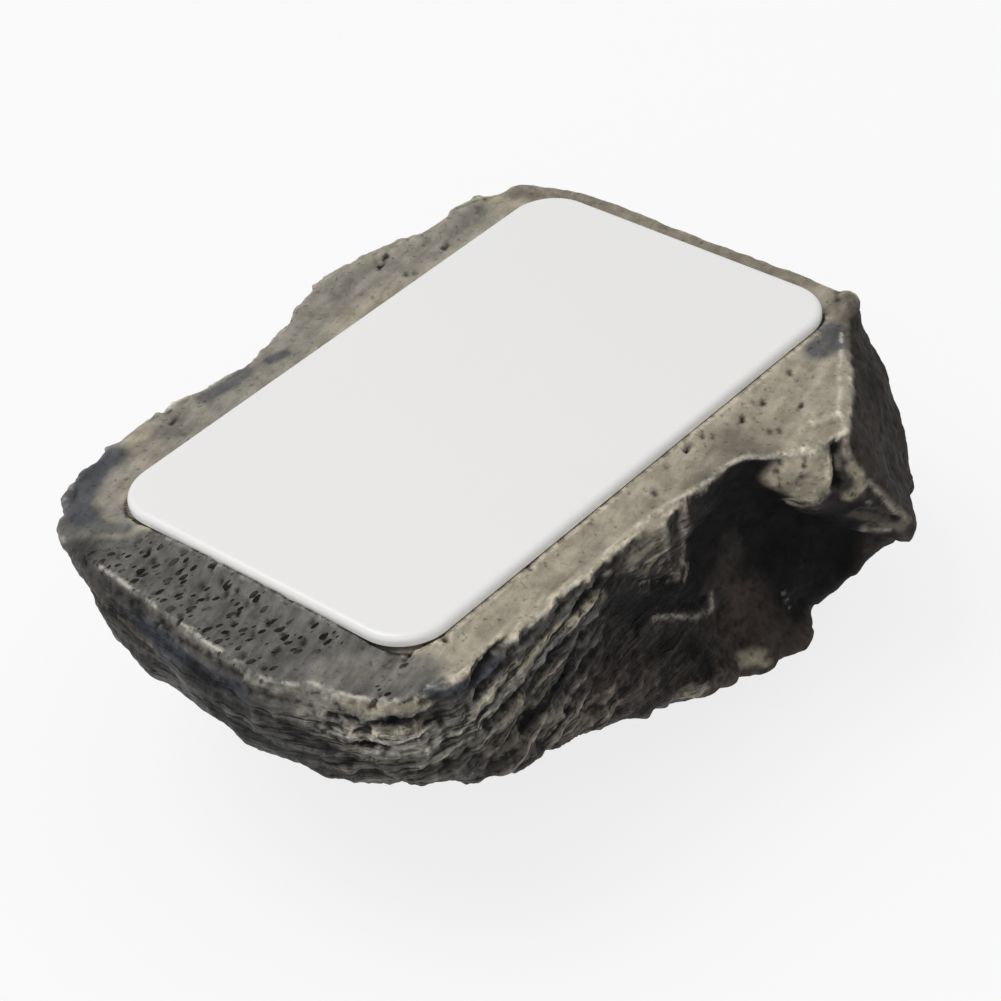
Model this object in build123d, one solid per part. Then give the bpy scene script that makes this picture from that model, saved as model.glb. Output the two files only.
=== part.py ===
from build123d import *
import os

# A hide-a-key garden stone, shown the way it is opened: the flat base faces up and the crown lies down.
# A cast resin stone has a pocket in its flat base. A moulded tray with a flange is glued into the pocket.
# A moulded cover with a skirt plugs into the tray, over a flat seal, and stands proud of the stone.
# Millimetres. X runs along the cover, +Z points out of the cover.
# The origin lies on the crown's flat, below the centre of the cover.

# --- cover ---
cover_length = 70.0
cover_width = 41.8
cover_corner_radius = 5.4
cover_plate = 1.3
cover_edge_round = 0.75
cover_back_round = 0.2
cover_overhang = 1.4  # the plate reaches past the tray's flange and hides it

# --- skirt under the cover, which plugs into the tray ---
skirt_depth = 5.0
skirt_wall = 1.2
skirt_clearance = 0.25
skirt_lead_in = 0.4
skirt_inner_radius = 0.3
snap_bead_height = 0.2
snap_bead_length = 12.0
snap_bead_depth = 3.4  # below the plate
snap_bead_spacing = 34.0
rib_width = 0.9
rib_height = 1.1
rib_spacing = 14.0

# --- seal between the plate and the tray's flange ---
seal_thickness = 0.5
seal_set_back = 0.3  # from the flange's outer edge
seal_clearance = 0.1  # to the skirt

# --- tray ---
flange_width = 1.8
flange_thickness = 1.2
flange_radius = 4.0
tray_depth = 14.0
tray_wall = 1.4
tray_floor = 1.4
tray_floor_round = 1.0

# --- foam pad on the tray's floor ---
foam_thickness = 2.0
foam_clearance = 0.3
foam_edge_round = 0.5

# --- glue under the flange ---
glue_thickness = 0.4
glue_set_back = 0.2

# --- stone ---
pocket_clearance = 0.3  # round the tray and its flange
pocket_floor_gap = 0.4
crown_thickness = 19.6  # solid stone below the pocket
cut_past = 1.0  # how far a cutting tool stands out of the face it cuts

# --- worked out from the above ---
flange_length = cover_length - 2 * cover_overhang
flange_breadth = cover_width - 2 * cover_overhang
tray_length = flange_length - 2 * flange_width
tray_breadth = flange_breadth - 2 * flange_width
tray_radius = flange_radius - flange_width / 2
inner_length = tray_length - 2 * tray_wall
inner_breadth = tray_breadth - 2 * tray_wall
inner_radius = tray_radius - tray_wall
skirt_length = inner_length - 2 * skirt_clearance
skirt_breadth = inner_breadth - 2 * skirt_clearance

pocket_depth = tray_depth + pocket_floor_gap
face_z = pocket_depth + crown_thickness
tray_bottom_z = face_z - tray_depth
ledge_z = face_z - flange_thickness - glue_thickness
plate_z = face_z + seal_thickness
cover_top_z = plate_z + cover_plate

# The stone is a ring of spokes. Each starts on the flat face's rim, at x and y, runs down the side through
# points at x, y and a depth below the flat face, and ends at a corner of the crown's flat, at x and y.
# They are drawn for this cover length, cover width and stone height, and stretch with the real ones.
DRAWN_FOR = (70.0, 41.8, 34.0)
SPOKES = [
    # east end
    ((38.7, -12.4), ((40.8, -12.4, 5), (42.5, -12.5, 14), (39.5, -12.5, 24), (33, -11, 30.5)), (26.5, -8)),
    ((38.4, 1.3), ((40.8, 1.5, 5), (42.5, 1, 14), (38.5, -1, 25), (32, -2, 31)), (26, -2)),
    ((38.8, 16.2), ((41, 17, 5), (42.3, 15, 14), (38, 11, 25), (31, 7, 31)), (24, 4)),
    # north side
    ((35.9, 25.6), ((37.5, 26.5, 5), (38, 26, 14), (34, 20, 24), (28, 13, 31)), (21, 8)),
    ((29.4, 27.9), ((30, 29, 5), (31, 29.5, 14), (28, 24.5, 24), (23, 17, 31)), (18, 11)),
    ((21.9, 27.6), ((22, 29.5, 5), (23, 31, 14), (22, 27.5, 24), (18, 20, 31)), (14, 13.5)),
    ((15.5, 30), ((16, 31, 5), (16.5, 32, 14), (16, 29, 23), (14, 22, 30.5)), (11, 14.5)),
    ((8.7, 31.3), ((9, 31.8, 5), (9.5, 32, 14), (9.5, 29, 23), (9, 22.5, 30)), (8, 15)),
    ((-0.2, 28.6), ((0, 30, 5), (0.5, 31, 14), (1, 28, 23), (2, 22, 30)), (4, 15)),
    ((-9.3, 26.7), ((-9, 27.8, 5), (-8, 29, 13), (-7, 27, 22), (-5, 21, 29)), (1, 14)),
    ((-17.9, 28.2), ((-17.5, 29.5, 5), (-16, 30.5, 13), (-14, 27, 21), (-10, 21, 29)), (-2, 13)),
    ((-27.9, 28.6), ((-27.5, 30, 5), (-26, 30.5, 12), (-22, 27, 19), (-15, 21, 27)), (-5, 12)),
    # west end
    ((-34.3, 26.8), ((-33, 28, 4), (-31, 29, 9), (-29, 25, 15), (-22, 19, 20)), (-8, 11)),
    ((-40.6, 22.7), ((-39.4, 23.3, 2.5), (-39.4, 20.8, 6.5), (-34.8, 22, 14.5), (-27, 17, 19.5)), (-10, 10)),
    ((-41.5, 14.5), ((-43.3, 14.8, 3), (-42.3, 14.8, 7), (-36.8, 17, 15), (-29, 13.5, 19.5)), (-12, 8)),
    ((-42, 5.9), ((-44.6, 6.5, 3.5), (-44.4, 6.5, 7.5), (-39.2, 8.8, 14.8), (-31, 8, 19.8)), (-14, 5.5)),
    ((-43.6, -2), ((-46, -1.7, 4), (-45, -1.2, 8), (-40, 1.5, 15), (-32, 2, 20)), (-15.5, 3)),
    ((-44.6, -10.5), ((-46.3, -10.6, 4), (-45.6, -8.9, 8.5), (-40.2, -6, 15), (-32, -4, 20)), (-16, 0)),
    ((-42, -15.9), ((-44, -16.8, 4), (-43.6, -16.9, 9.5), (-38.8, -12.5, 15), (-31, -9, 20)), (-15.5, -2.5)),
    # south side
    ((-39, -23.4), ((-40.4, -24.2, 4), (-39.6, -22.9, 10), (-35.9, -18.6, 15.3), (-29.5, -14, 20.3)),
     (-14.5, -4.5)),
    ((-34.2, -25.4), ((-34.8, -26.2, 4), (-36, -25.8, 11), (-31.8, -22.7, 15.5), (-27, -17.5, 20.5)),
     (-13, -6.5)),
    ((-27.1, -25.5), ((-27.3, -26.3, 5), (-28.3, -27.4, 12.5), (-27.2, -25.9, 16), (-21.5, -20, 21.5)),
     (-11, -8)),
    ((-19, -26.2), ((-19, -26.5, 5), (-19.5, -26, 12), (-17, -26.6, 18), (-14.5, -22.5, 23)), (-8, -10)),
    ((-9.5, -26), ((-9.5, -26.2, 4.5), (-10, -24, 11), (-9.5, -27.5, 19), (-6.5, -27.9, 22.5)), (-3, -13.5)),
    ((1.9, -27.1), ((1, -26.8, 4), (0.5, -23.5, 10), (0, -26, 19), (0.3, -29.3, 24.6)), (2, -17)),
    ((8.3, -27.4), ((8, -27, 3.5), (6, -22.5, 9), (6, -25, 20), (8, -29.2, 27)), (8, -20)),
    ((12.8, -31.5), ((12.8, -31.6, 6), (10, -24, 9), (12, -27, 22), (14.5, -31, 28)), (12, -21)),
    # southeast corner
    ((18.1, -33.3), ((20, -36, 6), (24.8, -38, 15), (22.5, -32.8, 20.5), (19.8, -27.6, 27)), (17, -22)),
    ((25.4, -28.5), ((27, -31, 5), (29.2, -33.5, 14), (30, -32.5, 20), (25, -25.5, 28)), (21, -21.5)),
    ((32.6, -23), ((34.2, -26, 5), (36.2, -28.3, 15), (36, -29, 21), (29, -23, 29)), (25, -18)),
    ((38.1, -20.9), ((40, -20.3, 5), (42.8, -22.6, 16), (41.2, -24.6, 22), (33, -20, 30)), (26, -14)),
]


def stretched(x, y, depth):
    """A drawn point, moved with the size of the cover and the height of the stone."""
    length, width, height = DRAWN_FOR
    return Vector(
        x * cover_length / length, y * cover_width / width, face_z - depth * face_z / height
    )


def spoke_points(rim, side, crown):
    """The points of one spoke, from the flat face's rim to the crown's flat."""
    return [stretched(*rim, 0), *(stretched(*point) for point in side), stretched(*crown, DRAWN_FOR[2])]


def rounded_block(length, breadth, radius, z_low, z_high):
    """A block with rounded corners, centred on the cover, between two heights."""
    outline = Location((0, 0, z_low)) * RectangleRounded(length, breadth, radius)
    return extrude(outline, amount=z_high - z_low)


def stone_form():
    """The stone's outer shape, as flat facets between the spokes."""
    spokes = [spoke_points(*spoke) for spoke in SPOKES]
    faces = [Face(Wire.make_polygon([points[0] for points in spokes]))]
    faces.append(Face(Wire.make_polygon([points[-1] for points in spokes])))
    for here, there in zip(spokes, spokes[1:] + spokes[:1]):
        for ring in range(len(here) - 1):
            faces.append(Face(Wire.make_polygon([here[ring], here[ring + 1], there[ring + 1]])))
            faces.append(Face(Wire.make_polygon([here[ring], there[ring + 1], there[ring]])))
    return Solid(Shell(faces))


def tray_room(z_low, z_high):
    """The space that the stone leaves for the tray's box, between two heights."""
    return rounded_block(
        tray_length + 2 * pocket_clearance,
        tray_breadth + 2 * pocket_clearance,
        tray_radius + pocket_clearance,
        z_low,
        z_high,
    )


def make_rock_shell():
    """The cast stone, with the tray's pocket and the step that the flange sits in."""
    step = rounded_block(
        flange_length + 2 * pocket_clearance,
        flange_breadth + 2 * pocket_clearance,
        flange_radius + pocket_clearance,
        ledge_z,
        face_z + cut_past,
    )
    return stone_form() - tray_room(face_z - pocket_depth, face_z + cut_past) - step


def make_tray_glue():
    """The bead of glue on the step, under the tray's flange."""
    outer = rounded_block(
        flange_length - 2 * glue_set_back,
        flange_breadth - 2 * glue_set_back,
        flange_radius - glue_set_back,
        ledge_z,
        ledge_z + glue_thickness,
    )
    return outer - tray_room(ledge_z, ledge_z + glue_thickness)


def snap_beads():
    """Half-round beads along both long walls of the skirt."""
    bead = Cylinder(snap_bead_height, snap_bead_length, rotation=(0, 90, 0))
    bead_z = plate_z - snap_bead_depth
    return [
        Location((end * snap_bead_spacing / 2, side * skirt_breadth / 2, bead_z)) * bead
        for side in (-1, 1)
        for end in (-1, 1)
    ]


def make_key_tray():
    """The tray that holds the keys, with a flange round its mouth."""
    body = rounded_block(tray_length, tray_breadth, tray_radius, tray_bottom_z, face_z)
    flange = rounded_block(
        flange_length, flange_breadth, flange_radius, face_z - flange_thickness, face_z
    )
    room = rounded_block(
        inner_length, inner_breadth, inner_radius, tray_bottom_z + tray_floor, face_z + cut_past
    )
    room = fillet(room.edges().group_by(Axis.Z)[0], tray_floor_round)
    return body + flange - room


def make_foam_pad():
    """The pad on the tray's floor that keeps keys from rattling."""
    bottom = tray_bottom_z + tray_floor
    pad = rounded_block(
        inner_length - 2 * (foam_clearance + tray_floor_round),
        inner_breadth - 2 * (foam_clearance + tray_floor_round),
        inner_radius,
        bottom,
        bottom + foam_thickness,
    )
    return fillet(pad.edges().group_by(Axis.Z)[-1], foam_edge_round)


def make_cover():
    """The cover: a plate with rounded edges, a skirt that plugs into the tray, snap beads and ribs."""
    plate = rounded_block(cover_length, cover_width, cover_corner_radius, plate_z, cover_top_z)
    plate = fillet(plate.edges().group_by(Axis.Z)[-1], cover_edge_round)
    plate = fillet(plate.edges().group_by(Axis.Z)[0], cover_back_round)
    skirt_z = plate_z - skirt_depth
    skirt = rounded_block(
        skirt_length, skirt_breadth, inner_radius - skirt_clearance, skirt_z, plate_z
    )
    skirt = chamfer(skirt.edges().group_by(Axis.Z)[0], skirt_lead_in)
    skirt -= rounded_block(
        skirt_length - 2 * skirt_wall,
        skirt_breadth - 2 * skirt_wall,
        skirt_inner_radius,
        skirt_z,
        plate_z,
    )
    cover = plate + skirt
    rib = Box(rib_width, skirt_breadth - skirt_wall, rib_height)
    for place in (-rib_spacing, 0, rib_spacing):
        cover += Location((place, 0, plate_z - rib_height / 2)) * rib
    for bead in snap_beads():
        cover += bead
    return cover


def make_cover_seal():
    """The flat seal round the skirt, pressed between the plate and the flange."""
    outer = rounded_block(
        flange_length - 2 * seal_set_back,
        flange_breadth - 2 * seal_set_back,
        flange_radius - seal_set_back,
        face_z,
        plate_z,
    )
    inner = rounded_block(
        skirt_length + 2 * seal_clearance,
        skirt_breadth + 2 * seal_clearance,
        inner_radius,
        face_z,
        plate_z,
    )
    return outer - inner


os.makedirs("parts", exist_ok=True)
for name, make in {
    "rock_shell": make_rock_shell,
    "tray_glue": make_tray_glue,
    "key_tray": make_key_tray,
    "foam_pad": make_foam_pad,
    "cover": make_cover,
    "cover_seal": make_cover_seal,
}.items():
    export_step(make(), f"parts/{name}.step")
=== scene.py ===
"""The looks of a hide-a-key garden stone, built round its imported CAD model.

The stone is a painted resin casting. Its rough skin is worked in three passes: the marks that the
photograph shows are laid down one by one, Geometry Nodes weather what lies between them, and named
paints are brushed over the result. The cover, tray, seal, glue and foam keep their CAD places.
"""

from __future__ import annotations

import logging
from dataclasses import dataclass, field
from enum import Enum

import bmesh
import bpy
import numpy as np
from mathutils import Matrix, Vector
from mathutils.bvhtree import BVHTree

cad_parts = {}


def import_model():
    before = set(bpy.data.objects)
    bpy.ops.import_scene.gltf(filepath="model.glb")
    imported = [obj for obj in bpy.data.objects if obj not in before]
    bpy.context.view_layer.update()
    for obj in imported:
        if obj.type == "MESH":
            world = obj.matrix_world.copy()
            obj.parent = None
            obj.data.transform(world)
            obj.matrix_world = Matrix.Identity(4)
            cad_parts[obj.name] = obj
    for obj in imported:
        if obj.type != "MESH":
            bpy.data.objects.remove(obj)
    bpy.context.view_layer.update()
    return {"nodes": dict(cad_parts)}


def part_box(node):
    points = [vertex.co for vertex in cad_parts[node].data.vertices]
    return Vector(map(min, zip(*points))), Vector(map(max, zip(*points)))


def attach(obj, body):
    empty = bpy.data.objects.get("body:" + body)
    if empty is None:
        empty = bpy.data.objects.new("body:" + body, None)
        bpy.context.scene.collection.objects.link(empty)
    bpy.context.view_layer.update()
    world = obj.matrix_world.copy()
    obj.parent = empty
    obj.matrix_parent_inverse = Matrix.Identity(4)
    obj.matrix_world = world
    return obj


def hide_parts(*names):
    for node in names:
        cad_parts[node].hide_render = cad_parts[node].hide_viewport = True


LOG = logging.getLogger("garden_stone")

MM = 0.001

Pixel = tuple[float, float]
Colour = tuple[float, float, float]


# --------------------------------------------------------------------------- camera


@dataclass(frozen=True)
class PhotoCamera:
    """The photograph's camera, recovered from the four sides of the cover."""

    place_mm: tuple[float, float, float] = (-173.577, -170.924, 212.185)
    forward: tuple[float, float, float] = (0.562612, 0.551205, -0.616150)
    up: tuple[float, float, float] = (0.512163, 0.352659, 0.783148)
    focal_px: float = 2873.0
    frame_px: float = 1001.0
    sensor_mm: float = 36.0

    def axes(self) -> tuple[Vector, Vector, Vector]:
        """Returns the camera's right, up and backward directions, square to each other."""
        back = -Vector(self.forward).normalized()
        right = Vector(self.up).cross(back).normalized()
        return right, back.cross(right), back

    def place(self) -> Vector:
        """Returns where the camera stands, in metres."""
        return Vector(self.place_mm) * MM

    def build(self) -> bpy.types.Object:
        """Adds the camera and makes it the scene's own.

        Returns:
            The camera object.
        """
        data = bpy.data.cameras.new("photo_camera")
        data.sensor_width = self.sensor_mm
        data.lens = self.focal_px / self.frame_px * self.sensor_mm
        data.clip_start, data.clip_end = 0.01, 10.0
        camera = bpy.data.objects.new("photo_camera", data)
        camera.matrix_world = Matrix.Translation(self.place()) @ (
            Matrix(self.axes()).transposed().to_4x4()
        )
        bpy.context.scene.collection.objects.link(camera)
        bpy.context.scene.camera = camera
        return camera

    def ray(self, pixel: Pixel) -> Vector:
        """Returns the direction in which the camera sees a pixel of the photograph."""
        right, up, back = self.axes()
        across = (pixel[0] - self.frame_px / 2) / self.focal_px
        down = (pixel[1] - self.frame_px / 2) / self.focal_px
        return (right * across - up * down - back).normalized()

    def pixels(self, points_mm: np.ndarray) -> np.ndarray:
        """Projects points into the photograph.

        Args:
            points_mm: one point a row, in millimetres.

        Returns:
            One pixel a row.
        """
        right, up, back = (np.array(axis) for axis in self.axes())
        seen = points_mm - np.array(self.place_mm)
        depth = -(seen @ back)
        across = self.focal_px * (seen @ right) / depth + self.frame_px / 2
        down = -self.focal_px * (seen @ up) / depth + self.frame_px / 2
        return np.stack([across, down], axis=1)


# --------------------------------------------------------------------------- marks on the stone


class Mark(Enum):
    """What a mark is, which says where it may go."""

    RIDGE = "bump or groove on the sides and the rim"
    SCOOP = "broad hollow or swelling"
    PIT = "pit, also in the flat face"


@dataclass(frozen=True)
class Stroke:
    """One mark that the photograph shows on the stone."""

    path: tuple[Pixel, ...]
    width_mm: float
    lift_mm: float
    mark: Mark = Mark.RIDGE


class Paint(Enum):
    """The paints on the casting, as linear colours; a pale tan stands for painted highlights and the near black also
    for painted shade.
    """

    TAN = (0.39, 0.35, 0.272)
    # painted highlight: the pale colour of the highlights along the rims and edges
    HIGHLIGHT_TAN = (0.72, 0.68, 0.6)
    PALE_GREY = (0.2, 0.2, 0.185)
    OLIVE_TAN = (0.25, 0.225, 0.165)
    DULL_TAN = (0.17, 0.15, 0.12)
    WARM_GREY = (0.2, 0.19, 0.165)
    GREY = (0.138, 0.133, 0.122)
    BLUE_GREY = (0.088, 0.091, 0.1)
    DEEP_BLUE = (0.045, 0.048, 0.058)
    SLATE = (0.066, 0.064, 0.061)
    UMBER = (0.07, 0.061, 0.055)
    BROWN = (0.042, 0.036, 0.032)
    RED_BROWN = (0.05, 0.038, 0.034)
    # near black for the dark washes, the cracks and the pits, and for painted shade and shadow
    BLACK_WASH_AND_SHADE = (0.009, 0.0085, 0.0085)


@dataclass(frozen=True)
class Wash:
    """One paint brushed along a path on the stone."""

    paint: Paint
    path: tuple[Pixel, ...]
    radius_mm: float
    strength: float = 1.0


NEAR_RIM: tuple[Pixel, ...] = (
    (380, 699), (400, 700), (426, 687), (457, 674), (497, 647), (520, 636), (536, 619), (553, 603),
    (584, 575), (592, 562), (604, 553), (627, 536), (669, 503), (690, 492), (709, 480), (726, 465),
    (745, 457), (766, 458), (783, 457), (808, 452), (834, 442), (843, 433),
)
EAST_RIM: tuple[Pixel, ...] = ((845, 428), (838, 407), (841, 389), (839, 370), (841, 354), (842, 333))
WEST_RIM: tuple[Pixel, ...] = (
    (101, 567), (124, 583), (148, 600), (173, 619), (190, 629), (206, 642), (219, 649), (244, 667),
)
NEAR_WEST_RIM: tuple[Pixel, ...] = (
    (249, 670), (259, 677), (280, 682), (295, 684), (308, 682), (330, 690), (350, 696), (370, 699),
)

STROKES: tuple[Stroke, ...] = (
    # the thin raised edge of the rim
    Stroke(NEAR_RIM, 0.32, 0.22),
    Stroke(EAST_RIM, 0.35, 0.15),
    Stroke(WEST_RIM, 0.35, 0.2),
    Stroke(NEAR_WEST_RIM, 0.35, 0.2),
    Stroke(((812, 424), (826, 418), (840, 414)), 0.5, 0.35),
    # slanting layers under the lip
    Stroke(((470, 716), (495, 688), (523, 662), (559, 628), (592, 600)), 0.5, 0.3),
    Stroke(((478, 730), (510, 696), (545, 664), (580, 632), (606, 604)), 0.6, -0.4),
    Stroke(((502, 722), (528, 695), (560, 664), (590, 632)), 0.7, 0.6),
    Stroke(((512, 732), (538, 704), (568, 672), (596, 640)), 0.45, -0.45),
    Stroke(((505, 676), (528, 655), (552, 634), (580, 606)), 0.4, -0.35),
    Stroke(((520, 728), (545, 706), (559, 682), (574, 650)), 0.6, -0.5),
    Stroke(((545, 722), (560, 700), (580, 676), (604, 640)), 0.8, 0.3),
    Stroke(((548, 600), (575, 582), (600, 566)), 0.5, 0.35),
    Stroke(((560, 612), (590, 590), (618, 574)), 0.6, -0.5),
    # level layers at the near corner
    Stroke(((345, 702), (372, 711), (400, 712), (430, 704)), 0.7, 0.45),
    Stroke(((330, 712), (360, 722), (395, 722), (430, 716), (455, 706)), 0.5, -0.4),
    Stroke(((322, 726), (352, 733), (380, 736), (412, 733), (435, 727)), 0.7, 0.55),
    Stroke(((366, 746), (385, 745), (405, 742), (420, 736)), 0.45, -0.7),
    Stroke(((330, 742), (352, 747), (362, 752)), 0.6, 0.35),
    Stroke(((250, 690), (290, 700), (330, 712), (346, 722)), 0.45, -0.35),
    Stroke(((270, 712), (310, 726), (346, 736)), 0.5, 0.3),
    Stroke(((280, 722), (318, 740), (350, 750)), 0.4, -0.3),
    Stroke(((292, 742), (330, 756), (370, 764)), 0.4, 0.25),
    Stroke(((380, 756), (396, 764), (420, 764), (446, 756)), 0.6, 0.35),
    Stroke(((408, 752), (430, 746), (452, 738)), 0.5, -0.4),
    # drips and the smooth plate below the lip
    Stroke(((632, 560), (640, 545), (652, 534), (660, 527)), 1.9, 0.45, Mark.SCOOP),
    Stroke(((665, 524), (664, 546), (661, 572)), 0.6, 0.35),
    Stroke(((676, 512), (674, 530)), 0.5, -0.4),
    Stroke(((681, 500), (685, 520), (690, 528)), 0.5, 0.5),
    Stroke(((608, 570), (632, 573), (657, 569)), 0.5, 0.35),
    Stroke(((612, 579), (636, 582), (662, 580)), 0.8, -0.6),
    Stroke(((668, 508), (680, 500), (692, 500)), 0.45, -0.5),
    # the curved ledge in the hollow
    Stroke(((653, 618), (672, 613), (690, 616), (709, 612), (714, 603), (712, 594)), 0.4, 0.15),
    Stroke(((664, 606), (680, 602), (696, 604), (705, 598)), 0.8, -0.6),
    # the hollow under the lip
    Stroke(((745, 480), (764, 505), (775, 530), (760, 560)), 5.5, -1.2, Mark.SCOOP),
    Stroke(((800, 530), (830, 540)), 4.0, -1.0, Mark.SCOOP),
    # the step at the projecting corner
    Stroke(((835, 446), (836, 462), (838, 484)), 0.7, -1.2),
    Stroke(((779, 460), (778, 474), (781, 492)), 0.4, -0.35),
    Stroke(((806, 455), (804, 470), (801, 486)), 0.4, -0.3),
    Stroke(((789, 504), (802, 505), (817, 503), (826, 492)), 0.6, 0.5),
    Stroke(((854, 466), (860, 478), (857, 488)), 0.9, 0.3),
    Stroke(((843, 494), (852, 497), (861, 492)), 0.4, 0.4),
    Stroke(((853, 524), (871, 531), (890, 534), (903, 534)), 0.8, 0.4),
    Stroke(((862, 512), (880, 516), (893, 521)), 1.1, -0.5),
    # ridges on the dark flank below
    Stroke(((785, 594), (790, 606)), 0.4, 0.35),
    Stroke(((795, 640), (806, 622), (815, 606)), 1.3, 0.4),
    Stroke(((742, 657), (760, 652), (775, 660)), 1.3, 0.4),
    Stroke(((690, 690), (703, 688), (714, 692)), 1.2, 0.6),
    Stroke(((676, 700), (690, 704)), 0.9, -0.5),
    Stroke(((715, 672), (722, 668), (728, 672)), 0.6, 0.4),
    # the raised nub at the far corner of the rim
    Stroke(((843, 294), (850, 301), (851, 312)), 1.1, 0.8),
    Stroke(((828, 292), (836, 300)), 0.8, -0.4),
    # swellings along the far rim
    Stroke(((60, 530), (66, 512), (76, 492), (92, 470), (112, 448)), 1.2, 0.15),
    Stroke(((112, 448), (140, 434), (170, 416), (200, 402)), 1.2, 0.3),
    Stroke(((300, 312), (318, 294), (338, 276), (360, 264)), 1.8, 0.6),
    Stroke(((352, 264), (380, 254), (410, 243), (436, 232), (462, 214)), 1.8, 0.7),
    Stroke(((470, 206), (500, 191), (522, 188), (560, 192), (586, 198)), 1.0, 0.35),
    # broken edges along the foot of the sides
    Stroke(((70, 560), (88, 594), (112, 625), (146, 660)), 2.2, 0.3),
    Stroke(((150, 662), (190, 692), (228, 722)), 1.6, 0.2),
    Stroke(((300, 765), (322, 770)), 1.6, 0.35),
    Stroke(((420, 776), (440, 778), (462, 774)), 1.2, 0.25),
    Stroke(((503, 762), (520, 757)), 1.2, 0.5),
    Stroke(((640, 712), (665, 707), (690, 703), (712, 698)), 1.4, 0.65),
    Stroke(((718, 680), (732, 675)), 1.4, 0.6),
    Stroke(((752, 666), (776, 664), (796, 652)), 1.5, 0.5),
    Stroke(((806, 640), (812, 622)), 1.1, 0.35),
    Stroke(((812, 594), (828, 582), (844, 566)), 1.8, 1.0),
    Stroke(((852, 558), (868, 547)), 1.5, 0.9),
    Stroke(((902, 532), (912, 534)), 1.2, 0.7),
    Stroke(((897, 428), (901, 446)), 1.4, 0.6),
    Stroke(((908, 482), (911, 498)), 1.3, 0.6),
    Stroke(((872, 346), (882, 372)), 1.4, 0.5),
    Stroke(((890, 400), (900, 420)), 1.2, -0.4),
    Stroke(((905, 462), (908, 470)), 1.0, -0.6),
)

# painted highlights: pale lines along the edges, drips, ledge and ridges that catch the light
GLINTS: tuple[tuple[Pixel, ...], ...] = (
    # the curl at the step and its lower edge
    ((846, 440), (848, 456), (855, 467), (863, 474), (866, 485), (861, 494), (845, 497)),
    ((868, 481), (880, 494), (886, 502), (896, 514)),
    ((862, 531), (880, 531), (895, 529)),
    ((789, 504), (803, 506), (818, 503), (828, 492)),
    ((812, 424), (826, 418), (840, 410)),
    # drips and ledge below the lip
    ((706, 489), (693, 499), (684, 514), (678, 524), (686, 533)),
    ((664, 524), (667, 545), (672, 576), (684, 581), (688, 566), (681, 560)),
    ((606, 574), (624, 571), (641, 568)),
    ((640, 582), (662, 581), (672, 578)),
    ((654, 620), (669, 615), (690, 618), (706, 615), (713, 607), (711, 594)),
    # ridges on the dark flank
    ((785, 594), (790, 606)),
    ((868, 502), (871, 508)),
    ((700, 690), (708, 688)),
    # layers at the near corner
    ((330, 711), (350, 716), (364, 722)),
    ((352, 746), (366, 752)),
    ((322, 727), (340, 732)),
)

PITS: tuple[Pixel, ...] = (
    (178, 540), (187, 566), (215, 572), (107, 569), (141, 571), (148, 563), (122, 557), (182, 585),
    (198, 587), (220, 585), (172, 595), (207, 597), (223, 595), (238, 592), (252, 605), (267, 590),
    (240, 612), (210, 624), (233, 622), (181, 618), (202, 633), (228, 634), (255, 635), (281, 637),
    (184, 641), (211, 652), (160, 623), (132, 602), (157, 592), (143, 583), (263, 667), (243, 673),
    (257, 677), (238, 657), (265, 622), (197, 600), (85, 563), (150, 552), (313, 626), (292, 607),
    (330, 638), (300, 643), (278, 650), (447, 643), (407, 659), (374, 707), (382, 696), (689, 451),
    (576, 528), (604, 506), (540, 566), (529, 573), (657, 493), (508, 582), (707, 438),
    (443, 247), (411, 273), (376, 298), (380, 266), (384, 258), (168, 413), (184, 433), (175, 421),
    (640, 470), (740, 420), (775, 430), (758, 404), (800, 405), (792, 375),
)
PIT_REACH_PX: Pixel = (2.2, -0.9)

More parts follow.
